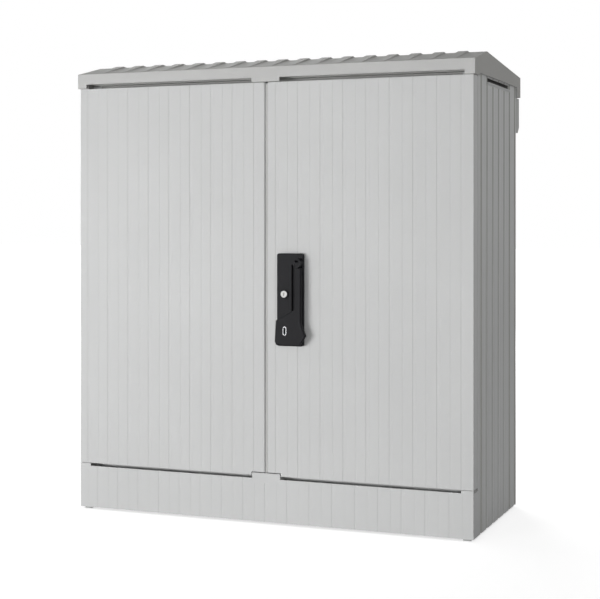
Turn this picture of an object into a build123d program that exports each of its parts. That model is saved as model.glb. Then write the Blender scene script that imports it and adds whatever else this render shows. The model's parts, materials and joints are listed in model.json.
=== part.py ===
from build123d import *
from math import atan, cos, pi, radians, sin, tan
import os

os.makedirs("parts", exist_ok=True)

# Outdoor battery cabinet of moulded polyester with two doors, millimetres.
# The front looks along -Y, up is +Z, the floor is z = 0 and the body's centre is x = y = 0.

# Body
WIDTH = 1000.0
DEPTH = 420.0
WALL = 4.0                 # moulded skin
FOOT_H = 5.0               # levelling pads
BAND_TOP = 107.0           # top of the foot panel
FASCIA_BOTTOM = 1050.0     # walls' height, where the roof begins
FASCIA_H = 26.0
TOP_GAP = 10.0             # between doors and head shelf
SHADOW_GAP = 11.0          # above the doors between corner pads and lug
SHADOW_DEEP = 26.0
CORNER_W = 28.0            # corner pads under the doors
ROOF_CORNER_W = 19.0       # corner pads over the doors
CORNER_RUN = 1.0           # corner pads from the doors
DOOR_GAP = 7.5             # between foot panel and doors
FLANGE_DOWN = 10.0         # foot panel's flange below its front edge
CORNER_FLANGE = 34.0       # the flange's raised ends, which carry the hinges
MEETING_GAP = 7.0          # between the two doors
SIDE_GAP = 3.0             # between a door's edge and the side wall

# Grooves moulded into doors, walls and foot panel
GROOVE_PITCH = 56.0
GROOVE_W = 9.0
GROOVE_DEEP = 0.6
FINE_W = 3.0               # the faint line half-way between two grooves
FINE_DEEP = 0.25
SIDE_GROOVE_W = 14.0       # side walls have wider and deeper grooves
SIDE_GROOVE_DEEP = 2.2
SIDE_FINE_W = 4.0
SIDE_FINE_DEEP = 0.7

# Doors and their pivots
DOOR_DEEP = 38.0
DOOR_EDGE_R = 3.0          # rounding of a door's free edge
PIVOT_INSET = 10.0         # pin centre from the door's outer edge
PIVOT_BACK = 18.0          # pin centre from the door's front
PIN_R = 4.0
PIN_RUN = 0.06             # radial running clearance
BOSS_R = 8.0
BOSS_L = 30.0
HINGE_BLOCK_R = 11.0       # corner block from the pin's centre to its rear
HINGE_BLOCK_W = 19.0
HEAD_END_W = 21.0          # head shelf's full ends over the hinges
SEAT = 0.3                 # clearance where two bodies rest on each other
FIT = 0.3                  # clearance between fixed pieces put together by hand
SLIDE_RUN = 0.08           # radial clearance of the sliding rods
DOOR_RIB_T = 3.0
DOOR_RIB_DEEP = 8.0

# Door opening and its rim
FLANGE_T = 4.0
RIM_T = 2.0
RIM_INSET = 38.0           # opening's edge from the outer side
SILL_UP = 36.0             # opening's lower edge above the foot panel
HEAD_DOWN = 13.0           # opening's upper edge below the doors' top
RIM_FRONT = 7.0            # rim's front edge behind the door's inner skin
POST_W = 40.0
GASKET_W = 7.0

# Centre lug under the doors' meeting line
LUG_W = 71.0
LUG_H = 13.0
LUG_DEEP = 30.0
LUG_RUN = 2.0

# Roof
ROOF_T = 4.0
ROOF_BOLT_R = 4.0
ROOF_BOLT_IN = 18.0        # roof bolt from the wall's inner face
BRACKET_OUT = 34.0         # roof bracket away from the wall
BRACKET_TALL = 60.0
BRACKET_L = 40.0           # roof bracket along the wall
BRACKET_BOLT_R = 4.0
FIXING_R = 5.5             # wall fixing hole
FIXING_OUT = 46.0          # fixing bracket behind the rear wall
FIXING_H = 87.0
FIXING_W = 42.0
FIXING_IN = 2.0            # fixing bracket from the body's side
FIXING_SLOPE = 14.0        # slope at the bracket's lower end
FIXING_BOLTS = 56.0        # between the bracket's two bolts
ROOF_OVER = 5.0            # front and sides
ROOF_REAR = 30.0           # rear overhang
RIDGE_SHARE = 0.25         # ridge from the body's front, as a share of the depth
RIDGE_UP = 26.0            # ridge above the fascia's top
EAVE_DOWN = 3.0            # rear eave below the fascia's top
REAR_SKIRT = 27.0          # rear skirt below the fascia
SIDE_SKIRT = 3.0           # side skirts below the fascia
WAVE_H = 3.2

# Vent slot in each side wall
SLOT_FRONT = 132.0         # from the body's front
SLOT_REAR = 74.0           # from the body's rear
SLOT_DOWN = 12.0           # slot's lower edge below the side skirt
SLOT_H = 9.0
SLOT_LIP = 3.5             # drip lip under the slot
FILTER_BAYS = 9
FILTER_BAR = 5.5

# Floor frame and cable entry
FRAME_H = 40.0
FRAME_W = 45.0
STEEL = 3.0
ANCHOR_IN_X = 70.0         # anchor hole from the body's side
ANCHOR_IN_Y = 27.0
ANCHOR_R = 7.0
PAD = 18.0
PAD_IN = 8.0               # levelling pad from the body's outer side
FLOOR_T = 3.0
GLAND_COUNT = 4
GLAND_PITCH = 70.0
GLAND_SIDE = 140.0         # last gland from the body's side
GLAND_Y = -40.0
GLAND_R = 9.0
GLAND_BODY_R = 16.0

# Lock
LOCK_X = 65.0
LOCK_W = 64.0
LOCK_DOWN = 412.0          # lock plate's top below the roof
LOCK_H = 216.0
PLATE_T = 12.0
HUB_X = 87.0
HUB_DOWN = 22.0            # hub centre below the plate's top
HUB_R = 10.5
HUB_T = 3.0                # hub disc below the lever
LEVER_T = 13.0
STEM_W = 15.0
TONGUE_W = 8.0             # lever's end between the hub's ears
LEVER_PIN_R = 2.0
KNUCKLE_R = 4.4
FLARE = 11.0               # grip beyond the plate's right edge
GRIP_H = 57.0              # grip's left shoulder above its lower end
GRIP_RUN = 31.0            # from the shoulder up to the stem
FLARE_UP = 22.0            # grip's widest place above its lower end
FLARE_H = 52.0             # where the flare leaves the stem
EYE_W = 9.0                # padlock eye in the grip
EYE_H = 21.0
EYE_WALL = 1.8
EYE_X = 57.0
EYE_UP = 36.0              # padlock eye above the plate's lower end
WELL_X = 74.5              # well beside the lever
WELL_W = 10.0
WELL_DEEP = 6.0
PLUG_X = 51.0
PLUG_UP = 121.0            # plug above the lock plate's lower end
PLUG_R = 8.0
SPINDLE_R = 5.0

# Rack and pinion of the door rods
MODULE = 2.0
TEETH = 12
PRESSURE = 25.0
BACKLASH = 0.25
GEAR_T = 8.0
RACK_W = 9.0               # rack body behind its teeth
ROD_R = 5.0
ROD_BACK = 18.0            # rod axis behind the door's front
ROD_STOP = 1.0             # rod tip short of its keeper
CASE_T = 2.5
GUIDE_IN = 45.0            # outer rod guide from the keeper
GUIDE_SHARE = 0.48         # inner rod guide's place between hub and keeper

# Shoot bolts of the left door
BOLT_R = 5.0
BOLT_L = 110.0
BOLT_X = 60.0
KNOB_R = 5.0

# Battery modules and their rack
MODULES = 4
MOD_FIT = 6.0              # module from the rack's front and rear
MOD_SIDE = 16.0            # module's side from the rack's side
MOD_BACK = 120.0           # depth of the body less that of a module
MOD_AIR = 38.0             # above each module
RACK_SIDE = 44.0           # rack from the body's side
RACK_MID = 24.0            # rack from the body's middle
RACK_HEADROOM = 65.0       # above the top module's space
UPRIGHT = 14.0
UPRIGHT_T = 2.5
RACK_FRONT = 28.0          # uprights behind the flange plane
SHELF_T = 2.0
SHELF_Z = 130.0            # first shelf
SHELF_EDGE = 22.0
SHELF_SLOT = 40.0
SHELF_RIM = 70.0           # slots from the shelf's front and rear
TERMINAL_R = 9.0
TERMINAL_X = 60.0          # terminal from the module's middle
TERMINAL_L = 12.0
TERMINAL_DOWN = 45.0       # terminal below the module's top
BUSBAR_W = 20.0
BUSBAR_T = 4.0

# Equipment bay
PLATE_X0 = 40.0
PLATE_SIDE = 50.0          # mounting plate from the body's side
PLATE_BACK = 60.0          # mounting plate from the body's rear
EQUIP_T = 2.5
PLATE_HEAD = 30.0          # mounting plate below the opening's head
PLATE_FOLD = 26.0
PLATE_FOOT = 30.0
INV_SIDE = 25.0            # converter from the plate's side
INV_H = 380.0
INV_D = 110.0
INV_DOWN = 467.0           # converter's underside below the opening's head
FIN_T = 3.0
FIN_DEEP = 22.0
FIN_COUNT = 16
FIN_SIDE = 30.0            # outer fin from the converter's side
FIN_LOW = 20.0             # fins above the converter's underside
FIN_HIGH = 90.0            # fins below the converter's top
RAIL_DOWN = 160.0          # rail below the converter
BREAKER_W = 72.0
BREAKER_H = 86.0
BREAKER_D = 64.0
CTRL_W = 200.0
CTRL_H = 86.0
CTRL_D = 60.0
EARTH_SCREWS = 8
EARTH_PITCH = 28.0
EARTH_SCREW_R = 5.0
FAN = 92.0
FAN_T = 25.0
FAN_BLADES = 7
FAN_RUN = 1.2
FAN_HUB_R = 16.0
FAN_STUD_R = 2.5
FAN_SPREAD = 100.0         # fan centre from the bay's middle
FAN_FORWARD = 60.0         # fan centre before the mounting plate
FAN_GAP = 8.0              # fans above the converter

# Places that follow from the sizes above
HX = WIDTH / 2
FRONT = -DEPTH / 2
REAR = DEPTH / 2
DOOR_TOP = FASCIA_BOTTOM - TOP_GAP
FASCIA_TOP = FASCIA_BOTTOM + FASCIA_H
SILL_Z = BAND_TOP + SILL_UP
HEAD_Z = DOOR_TOP - HEAD_DOWN
RIDGE_Z = FASCIA_TOP + RIDGE_UP
EAVE_REAR_Z = FASCIA_TOP - EAVE_DOWN
REAR_SKIRT_BOTTOM = FASCIA_BOTTOM - REAR_SKIRT
SIDE_SKIRT_BOTTOM = FASCIA_BOTTOM - SIDE_SKIRT
SLOT_Z = SIDE_SKIRT_BOTTOM - SLOT_DOWN
SLOT_Y0 = FRONT + SLOT_FRONT
SLOT_Y1 = REAR - SLOT_REAR
LOCK_Z0 = FASCIA_BOTTOM - LOCK_DOWN - LOCK_H
PLUG_Z = LOCK_Z0 + PLUG_UP
RACK_X0 = -HX + RACK_SIDE
RACK_X1 = -RACK_MID
MOD_W = RACK_X1 - RACK_X0 - 2 * MOD_SIDE
MOD_D = DEPTH - MOD_BACK
MOD_PITCH = (HEAD_Z - RACK_HEADROOM - SHELF_Z) / MODULES
MOD_H = MOD_PITCH - MOD_AIR
PLATE_X1 = HX - PLATE_SIDE
GLAND_X = HX - GLAND_SIDE - (GLAND_COUNT - 1) * GLAND_PITCH
PLATE_Y = REAR - PLATE_BACK
INV_W = PLATE_X1 - PLATE_X0 - 2 * INV_SIDE
INV_Z = HEAD_Z - INV_DOWN
RAIL_Z = INV_Z - RAIL_DOWN
DOOR_Z0 = BAND_TOP + DOOR_GAP
DOOR_REAR = FRONT + DOOR_DEEP
PIVOT_X = HX - PIVOT_INSET
PIVOT_Y = FRONT + PIVOT_BACK
FLANGE_Y = DOOR_REAR + SIDE_GAP
STEEL_Y = FLANGE_Y + FLANGE_T
RIM_Y = FRONT + WALL + RIM_FRONT
OPEN_X = HX - RIM_INSET
RIDGE_Y = FRONT + RIDGE_SHARE * DEPTH
HUB_Z = LOCK_Z0 + LOCK_H - HUB_DOWN
PLATE_FRONT = FRONT - PLATE_T
LEVER_BACK = PLATE_FRONT - SEAT
LEVER_PIN_Y = LEVER_BACK - HUB_T - 5.0
PITCH_R = MODULE * TEETH / 2
ROD_Y = FRONT + ROD_BACK
GEAR_Y0 = ROD_Y - GEAR_T / 2
ROD_OFF = PITCH_R + MODULE + RACK_W / 2
KEEPER_T = 3.0
KEEPER_IN = 9.0            # keeper plate inside the rim
TOP_KEEPER_Z = HEAD_Z - KEEPER_IN
BOTTOM_KEEPER_Z = SILL_Z + KEEPER_IN
FRAME_TOP = FOOT_H + FRAME_H
FLOOR_TOP = FRAME_TOP + FLOOR_T
HEAD_SHELF_TOP = FASCIA_BOTTOM + WALL
BRACKET_TOP = HEAD_SHELF_TOP + 4.0
BAY_MID = (PLATE_X0 + PLATE_X1) / 2
RAIL_FRONT = PLATE_Y - 8.0
FAN_Z = INV_Z + INV_H + FAN_GAP
THIN_ROD_R = ROD_R - 1.0


def block(x0, x1, y0, y1, z0, z1):
    """A box from its two corners."""
    return Pos((x0 + x1) / 2, (y0 + y1) / 2, (z0 + z1) / 2) * Box(abs(x1 - x0), abs(y1 - y0), abs(z1 - z0))


def rod_z(x, y, z0, z1, r):
    """An upright round bar."""
    return Pos(x, y, (z0 + z1) / 2) * Cylinder(r, abs(z1 - z0))


def rod_y(x, y0, y1, z, r):
    """A round bar that runs front to back."""
    return Pos(x, (y0 + y1) / 2, z) * Rot(90, 0, 0) * Cylinder(r, abs(y1 - y0))


def prism_z(points, z0, z1):
    """A plan outline raised from z0 to z1."""
    face = make_face(Polyline(*points, close=True))
    return extrude(Plane.XY.offset(z0) * face, z1 - z0)


def prism_x(points, x0, x1):
    """A side outline of (y, z) points drawn out from x0 to x1."""
    face = make_face(Polyline(*points, close=True))
    return extrude(Plane.YZ.offset(x0) * face, x1 - x0)


def prism_y(points, y0, y1):
    """A front outline of (x, z) points drawn out from y0 back to y1."""
    face = make_face(Polyline(*points, close=True))
    front = Plane(origin=(0, y0, 0), x_dir=(1, 0, 0), z_dir=(0, -1, 0))
    return extrude(front * face, -(y1 - y0))


def mirrored(shape):
    """The same piece on the other side of the centre plane."""
    return mirror(shape, about=Plane.YZ)


def save(shape, name):
    """One file for each piece, with touching bodies kept apart."""
    solids = list(shape.solids())
    export_step(solids[0] if len(solids) == 1 else Compound(children=solids), f"parts/{name}.step")


def save_group(shapes, name):
    """Several like pieces in one file."""
    solids = [s for shape in shapes for s in shape.solids()]
    export_step(Compound(children=solids), f"parts/{name}.step")


def groove_places(length):
    """Offsets of the grooves and of the faint lines between them, about the middle."""
    count = int((length / 2 - GROOVE_W) / GROOVE_PITCH)
    main = [GROOVE_PITCH * k for k in range(-count, count + 1)]
    fine = [x + GROOVE_PITCH / 2 for x in main if x + GROOVE_PITCH / 2 < length / 2 - GROOVE_W]
    fine.append(main[0] - GROOVE_PITCH / 2)
    return main, [x for x in fine if abs(x) < length / 2 - GROOVE_W]


def grooved_edge(length):
    """Points (along, deep) of a grooved face from one end to the other."""
    main, fine = groove_places(length)
    marks = [(x, GROOVE_W, GROOVE_DEEP) for x in main] + [(x, FINE_W, FINE_DEEP) for x in fine]
    points = [(-length / 2, 0.0)]
    for x, width, deep in sorted(marks):
        points.append((x - width / 2, 0.0))
        points.append((x - width / 2 + deep, deep))
        points.append((x + width / 2 - deep, deep))
        points.append((x + width / 2, 0.0))
    points.append((length / 2, 0.0))
    return points


def door_skin(x0, x1):
    """Solid block of a door with its grooved front, from x0 to x1."""
    mid = (x0 + x1) / 2
    edge = [(mid + a, FRONT + d) for a, d in grooved_edge(x1 - x0)]
    skin = prism_z(edge + [(x1, DOOR_REAR), (x0, DOOR_REAR)], DOOR_Z0, DOOR_TOP)
    corner = Vector(x0, FRONT, (DOOR_Z0 + DOOR_TOP) / 2)
    return fillet(skin.edges().filter_by(Axis.Z).sort_by_distance(corner)[0], DOOR_EDGE_R)


def door_ribs(x0, x1):
    """Cross ribs and two uprights on the inner skin."""
    y0 = FRONT + WALL - 0.5
    y1 = FRONT + WALL + DOOR_RIB_DEEP
    z0 = SILL_Z + 30
    z1 = HEAD_Z - 30
    ribs = [block(x0, x1, y0, y1, z, z + DOOR_RIB_T) for z in (z0, z0 + (z1 - z0) * 0.5, z1)]
    for x in (x0, (x0 + x1) / 2, x1 - DOOR_RIB_T):
        ribs.append(block(x, x + DOOR_RIB_T, y0, y1, z0, z1 + DOOR_RIB_T))
    return ribs


def hinge_boss(z0, z1):
    """Round boss in the door's corner that turns on a pin."""
    return rod_z(PIVOT_X, PIVOT_Y, z0, z1, BOSS_R) + block(
        PIVOT_X, HX - WALL / 2, PIVOT_Y - BOSS_R, PIVOT_Y + BOSS_R, z0, z1)


def make_door():
    """The right-hand door moulding, before its lock is cut in."""
    x0 = MEETING_GAP / 2
    x1 = HX
    door = door_skin(x0, x1)
    pocket = block(x0 + WALL, x1 - WALL, FRONT + WALL, DOOR_REAR + 1, DOOR_Z0 + WALL, DOOR_TOP - WALL)
    notch_x = LUG_W / 2 + LUG_RUN
    notch_z = BAND_TOP + LUG_H + LUG_RUN
    notch = block(x0 - 1, notch_x, FRONT - 1, DOOR_REAR + 1, DOOR_Z0 - 1, notch_z)
    notch_wall = block(x0 - 1, notch_x + WALL, FRONT - 1, DOOR_REAR + 2, DOOR_Z0 - 1, notch_z + WALL)
    door = door - (pocket - notch_wall) - notch
    for rib in door_ribs(x0 + RIM_INSET, x1 - RIM_INSET - GASKET_W):
        door = door + rib
    door = door + hinge_boss(DOOR_Z0, DOOR_Z0 + BOSS_L) + hinge_boss(DOOR_TOP - BOSS_L, DOOR_TOP)
    hole_r = PIN_R + PIN_RUN
    for z in (DOOR_Z0, DOOR_TOP):
        door = door - rod_z(PIVOT_X, PIVOT_Y, z - BOSS_L + 4, z + BOSS_L - 4, hole_r)
    return door


def make_right_door():
    """Right door with the lock's two holes through its skin."""
    door = make_door()
    door = door - rod_y(HUB_X, FRONT - 1, FRONT + WALL + DOOR_RIB_DEEP + 1, HUB_Z, SPINDLE_R + 1.5)
    clear = block(HUB_X - 34, HUB_X + 34, FRONT + WALL, DOOR_REAR, HUB_Z - 42, HUB_Z + 42)
    door = door - clear
    return door - rod_lanes()


def rod_lanes():
    """Clear lanes through the door's ribs for the two rods."""
    lanes = None
    for x in (HUB_X - ROD_OFF, HUB_X + ROD_OFF):
        lane = block(x - ROD_R - 2, x + ROD_R + 2, FRONT + WALL, DOOR_REAR, SILL_Z, HEAD_Z)
        lanes = lane if lanes is None else lanes + lane
    return lanes


def make_left_door():
    """Left door with lanes in its ribs for the shoot bolts."""
    door = mirrored(make_door())
    lane = block(-BOLT_X - BOLT_R - 2, -BOLT_X + BOLT_R + 2, FRONT + WALL, DOOR_REAR, SILL_Z, HEAD_Z)
    return door - lane


def make_side_wall():
    """Right side wall: grooved skin, front flange, vent slot."""
    y0 = FLANGE_Y
    y1 = REAR - WALL
    fine, main = groove_places(DEPTH)
    edge = SIDE_GROOVE_W / 2 + 2
    marks = [(y, SIDE_GROOVE_W, SIDE_GROOVE_DEEP) for y in main if y0 + edge < y < y1 - edge]
    marks += [(y, SIDE_FINE_W, SIDE_FINE_DEEP) for y in fine if y0 + edge < y < y1 - edge]
    outline = [(HX - WALL, y0), (HX, y0)]
    for y, width, deep in sorted(marks):
        outline += [(HX, y - width / 2), (HX - deep, y - width / 2 + deep)]
        outline += [(HX - deep, y + width / 2 - deep), (HX, y + width / 2)]
    outline += [(HX, y1), (HX - WALL, y1)]
    wall = prism_z(outline, FOOT_H, FASCIA_BOTTOM + 8)
    wall = wall + block(OPEN_X + RIM_T + FIT, HX - WALL / 2, FLANGE_Y, STEEL_Y, BAND_TOP - 4, FASCIA_BOTTOM)
    slot = block(HX - 2 * WALL, HX + 1, SLOT_Y0, SLOT_Y1, SLOT_Z, SLOT_Z + SLOT_H)
    top = SLOT_Z - 1
    out = HX + SLOT_LIP
    lip = [(HX - 1, top), (HX - 1, top - 2 * SLOT_LIP), (out, top - SLOT_LIP / 2), (out, top)]
    return wall - slot + prism_y(lip, SLOT_Y0 - 4, SLOT_Y1 + 4)


def make_rear_wall():
    """Rear wall: grooved skin with a bolting flange at each side."""
    edge = [(-a, REAR - d) for a, d in grooved_edge(WIDTH)]
    wall = prism_z(edge + [(-HX, REAR - WALL), (HX, REAR - WALL)], FOOT_H, FASCIA_BOTTOM + 8)
    for side in (-1, 1):
        x = side * (HX - WALL)
        y = REAR - WALL / 2
        wall = wall + block(x, x - side * WALL, y - 22, y, FRAME_TOP + 2, FASCIA_BOTTOM)
    for hole in bracket_bolt_holes():
        wall = wall - hole
    return wall


def make_foot_panel():
    """Foot panel: grooved face, end returns, top flange, upstand behind the doors and centre lug."""
    edge = [(a, FRONT + d) for a, d in grooved_edge(WIDTH)]
    panel = prism_z(edge + [(HX, FRONT + WALL), (-HX, FRONT + WALL)], FOOT_H, BAND_TOP)
    for side in (-1, 1):
        x = side * HX
        panel = panel + block(x, x - side * WALL, FRONT + WALL / 2, FLANGE_Y, FOOT_H, BAND_TOP)
    low = BAND_TOP - FLANGE_DOWN
    panel = panel + block(-HX, HX, FRONT + WALL / 2, FLANGE_Y, low - WALL, low)
    for side in (-1, 1):
        x = side * (HX - CORNER_FLANGE)
        panel = panel + block(side * HX, x, FRONT + WALL / 2, FLANGE_Y, BAND_TOP - WALL, BAND_TOP)
        panel = panel + block(x, x + side * WALL, FRONT + WALL / 2, FLANGE_Y, low - WALL, BAND_TOP)
        top = DOOR_Z0 - CORNER_RUN
        panel = panel + block(side * HX, side * (HX - CORNER_W), FRONT, FRONT + WALL, BAND_TOP - WALL, top)
    half = OPEN_X + RIM_T
    panel = panel + block(-half, half, FLANGE_Y - 1, STEEL_Y, low - WALL, SILL_Z - RIM_T - FIT)
    return panel + block(-LUG_W / 2, LUG_W / 2, FRONT, FRONT + LUG_DEEP, low - 1, BAND_TOP + LUG_H)


def make_frame_head():
    """Head crossbar: upright plate between the side flanges and a shelf over the doors."""
    half = OPEN_X + RIM_T
    bar = block(-half, half, FLANGE_Y, STEEL_Y, HEAD_Z + RIM_T + FIT, HEAD_SHELF_TOP)
    shelf = block(-HX + 1, HX - 1, FRONT + WALL, STEEL_Y, FASCIA_BOTTOM, HEAD_SHELF_TOP)
    middle = HX - HEAD_END_W
    shelf = shelf - block(-middle, middle, FRONT, FRONT + SHADOW_DEEP, FASCIA_BOTTOM - 1, HEAD_SHELF_TOP + 1)
    side = block(OPEN_X, HX, FLANGE_Y, REAR, FASCIA_BOTTOM - 1, HEAD_SHELF_TOP + 1)
    return bar + (shelf - side - mirrored(side))


def make_rim_jamb():
    """Right jamb: a steel angle whose lip stands forward into the gasket."""
    x = OPEN_X
    lip = block(x, x + RIM_T, RIM_Y, STEEL_Y + RIM_T, SILL_Z - RIM_T, HEAD_Z + RIM_T)
    flange = block(x, HX - WALL - 2, STEEL_Y, STEEL_Y + RIM_T, SILL_Z - RIM_T, HEAD_Z + RIM_T)
    return lip + flange


def meeting_space():
    """Space before the post that the two doors' meeting edges need."""
    half = POST_W / 2 - RIM_T
    return block(-half, half, FRONT, FLANGE_Y, BAND_TOP, FASCIA_BOTTOM)


def make_rim_sill():
    """Sill angle below both openings."""
    lip = block(-OPEN_X, OPEN_X, RIM_Y, STEEL_Y + RIM_T, SILL_Z - RIM_T, SILL_Z)
    angle = lip + block(-OPEN_X, OPEN_X, STEEL_Y, STEEL_Y + RIM_T, BAND_TOP, SILL_Z)
    return angle - meeting_space()


def make_rim_head():
    """Head angle above both openings."""
    lip = block(-OPEN_X, OPEN_X, RIM_Y, STEEL_Y + RIM_T, HEAD_Z, HEAD_Z + RIM_T)
    angle = lip + block(-OPEN_X, OPEN_X, STEEL_Y, STEEL_Y + RIM_T, HEAD_Z, FASCIA_BOTTOM)
    return angle - meeting_space()


def make_centre_post():
    """Post between the openings: a channel with its two legs forward."""
    half = POST_W / 2
    y1 = STEEL_Y + RIM_T
    post = block(-half, half, RIM_Y, y1, SILL_Z, HEAD_Z)
    return post - block(-half + RIM_T, half - RIM_T, RIM_Y - 1, y1 - RIM_T, SILL_Z - 1, HEAD_Z + 1)


def make_gasket(side):
    """Gasket pushed on the rim round one opening; side is 1 for the right one."""
    y0 = FRONT + WALL + SEAT
    inner = block(POST_W / 2, OPEN_X, y0 - 1, RIM_Y + 1, SILL_Z, HEAD_Z)
    grown = block(POST_W / 2 - GASKET_W, OPEN_X + GASKET_W, y0, RIM_Y, SILL_Z - GASKET_W, HEAD_Z + GASKET_W)
    ring = grown - inner
    return ring if side > 0 else mirrored(ring)


def make_roof():
    """Ribbed gable roof: waves run front to back, skirts hang on all four sides."""
    outer = roof_body(0.0)
    inner = roof_body(ROOF_T)
    y0 = FRONT - ROOF_OVER
    shell = outer - inner
    for x0, x1 in ((-HX + ROOF_CORNER_W, -LUG_W / 2), (LUG_W / 2, HX - ROOF_CORNER_W)):
        shell = shell - block(x0, x1, y0 - 1, y0 + ROOF_T + 1, REAR_SKIRT_BOTTOM, DOOR_TOP + SHADOW_GAP)
    low = DOOR_TOP + CORNER_RUN
    top = FASCIA_BOTTOM + ROOF_T
    shell = shell + block(-LUG_W / 2, LUG_W / 2, y0, y0 + ROOF_T, low, top)
    for side in (-1, 1):
        out = side * (HX + ROOF_OVER)
        shell = shell + block(side * (HX - ROOF_CORNER_W), out, y0, y0 + ROOF_T, low, top)
        shell = shell + block(out - side * ROOF_T, out, y0, FLANGE_Y, low, top)
    for x, y in roof_bolt_places():
        boss = rod_z(x, y, BRACKET_TOP, RIDGE_Z, 2 * ROOF_BOLT_R + 1) & outer
        shell = shell + (boss - rod_z(x, y, FASCIA_BOTTOM, FASCIA_BOTTOM + 20, ROOF_BOLT_R))
    return shell


def roof_bolt_places():
    """Places of the four roof bolts, over the corner brackets."""
    x = HX - WALL - ROOF_BOLT_IN
    return [(sx * x, y + BRACKET_L / 2) for sx in (-1, 1) for y in bracket_starts()]


def bracket_starts():
    """Front ends of the roof brackets."""
    return STEEL_Y + 8, REAR - WALL - 60


def make_roof_bolt(x, y):
    """Roof bolt from below into its boss, with a hexagon head."""
    shank = rod_z(x, y, BRACKET_TOP - STEEL, BRACKET_TOP + 11, ROOF_BOLT_R)
    return shank + Pos(x, y, BRACKET_TOP - STEEL - 5) * extrude(RegularPolygon(7.5, 6), 5)


def bracket_bolt_places():
    """Places of the bolts that hold the right fixing bracket to the rear wall."""
    x = HX - FIXING_IN - FIXING_W / 2
    z = REAR_SKIRT_BOTTOM - FIXING_H / 2
    return [(x, z - FIXING_BOLTS / 2), (x, z + FIXING_BOLTS / 2)]


def make_bracket_bolt(x, z):
    """Bolt from inside the fixing bracket through the rear wall, with its nut."""
    bolt = rod_y(x, REAR + STEEL + 5, REAR - WALL - 9, z, BRACKET_BOLT_R)
    head = Pos(x, REAR + STEEL + 5, z) * Rot(90, 0, 0) * extrude(RegularPolygon(7, 6), 5)
    nut = Pos(x, REAR - WALL, z) * Rot(90, 0, 0) * extrude(RegularPolygon(7, 6), 6)
    return bolt + head + nut


def bracket_bolt_holes():
    """Holes for both fixing brackets' bolts."""
    holes = [rod_y(x, REAR - 2 * WALL, REAR + STEEL, z, BRACKET_BOLT_R) for x, z in bracket_bolt_places()]
    return holes + [mirrored(h) for h in holes]


def roof_body(t):
    """The roof as a filled body, smaller all round by t."""
    x1 = HX + ROOF_OVER - t
    y0 = FRONT - ROOF_OVER + t
    y1 = REAR + ROOF_REAR - t
    low = REAR_SKIRT_BOTTOM - (10 if t else 0)
    front_z = FASCIA_TOP - t
    ridge_z = RIDGE_Z - t
    rear_z = EAVE_REAR_Z - t
    side = [(y0, low), (y0, front_z), (RIDGE_Y, ridge_z), (y1, rear_z), (y1, low)]
    body = prism_x(side, -x1, x1)
    waves = roof_waves(t, x1)
    body = body + waves
    if t:
        return body
    cut = block(-x1 - 1, x1 + 1, y0 - 1, REAR + 1, low - 20, SIDE_SKIRT_BOTTOM)
    front = block(-x1 - 1, x1 + 1, y0 - 1, FLANGE_Y, low - 20, FASCIA_BOTTOM)
    return body - cut - front


def roof_waves(t, half):
    """Flat-topped ribs on both slopes, cut off by the fascia and the rear eave."""
    y0 = FRONT - ROOF_OVER + t
    y1 = REAR + ROOF_REAR - t
    count = int((half - GROOVE_PITCH / 2) / GROOVE_PITCH)
    low = 14.0
    side = [(y0, FASCIA_TOP - t - low), (y0, FASCIA_TOP - t + 0.2), (RIDGE_Y, RIDGE_Z - t + WAVE_H),
            (y1, EAVE_REAR_Z - t + WAVE_H), (y1, EAVE_REAR_Z - t - low), (RIDGE_Y, RIDGE_Z - t - low)]
    width = GROOVE_PITCH / 2 - t
    ribs = None
    for k in range(-count, count + 1):
        x = k * GROOVE_PITCH
        rib = prism_x(side, x - width / 2, x + width / 2)
        rib = chamfer(rib.edges().filter_by(Axis.Z, reverse=True).filter_by(
            lambda e: abs(e.tangent_at(0).X) < 0.1).group_by(Axis.Z)[-1], 0.8 * WAVE_H)
        ribs = rib if ribs is None else ribs + rib
    return ribs


def make_floor_frame():
    """Floor frame: a ring of inward channel with four anchor holes."""
    x1 = HX - WALL - FIT
    y1 = REAR - WALL
    frame = block(-x1, x1, -y1, y1, FOOT_H, FRAME_TOP)
    hollow = block(-x1 + STEEL, x1 - STEEL, -y1 + STEEL, y1 - STEEL, FOOT_H + STEEL, FRAME_TOP - STEEL)
    middle = block(-x1 + FRAME_W, x1 - FRAME_W, -y1 + FRAME_W, y1 - FRAME_W, 0, FRAME_TOP + 1)
    frame = frame - hollow - middle
    for x, y in corners(WIDTH - 2 * ANCHOR_IN_X, DEPTH - 2 * ANCHOR_IN_Y):
        frame = frame - rod_z(x, y, 0, FOOT_H + STEEL + 2, ANCHOR_R)
        half = 2 * ANCHOR_R
        frame = frame - block(x - half, x + half, y - half, y + half, FRAME_TOP - STEEL - 1, FRAME_TOP + 1)
    return frame


def corners(dx, dy):
    """Four places on a rectangle about the origin."""
    return [(sx * dx / 2, sy * dy / 2) for sx in (-1, 1) for sy in (-1, 1)]


def make_pads():
    """Levelling pads at the outer corners."""
    x = HX - PAD_IN - PAD / 2
    y = REAR - PAD_IN - PAD / 2
    return [block(sx * x - PAD / 2, sx * x + PAD / 2, sy * y - PAD / 2, sy * y + PAD / 2, 0, FOOT_H)
            for sx in (-1, 1) for sy in (-1, 1)]


def gland_places():
    return [(GLAND_X + k * GLAND_PITCH, GLAND_Y) for k in range(GLAND_COUNT)]


def make_floor_plate():
    """Floor plate on the frame, with a hole for each gland."""
    x1 = HX - WALL - FIT - FRAME_W + 18
    y1 = REAR - WALL - FRAME_W + 18
    plate = block(-x1, x1, -y1, y1, FRAME_TOP, FLOOR_TOP)
    for x, y in gland_places():
        plate = plate - rod_z(x, y, FRAME_TOP - 1, FLOOR_TOP + 1, GLAND_BODY_R - 3)
    return plate


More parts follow.
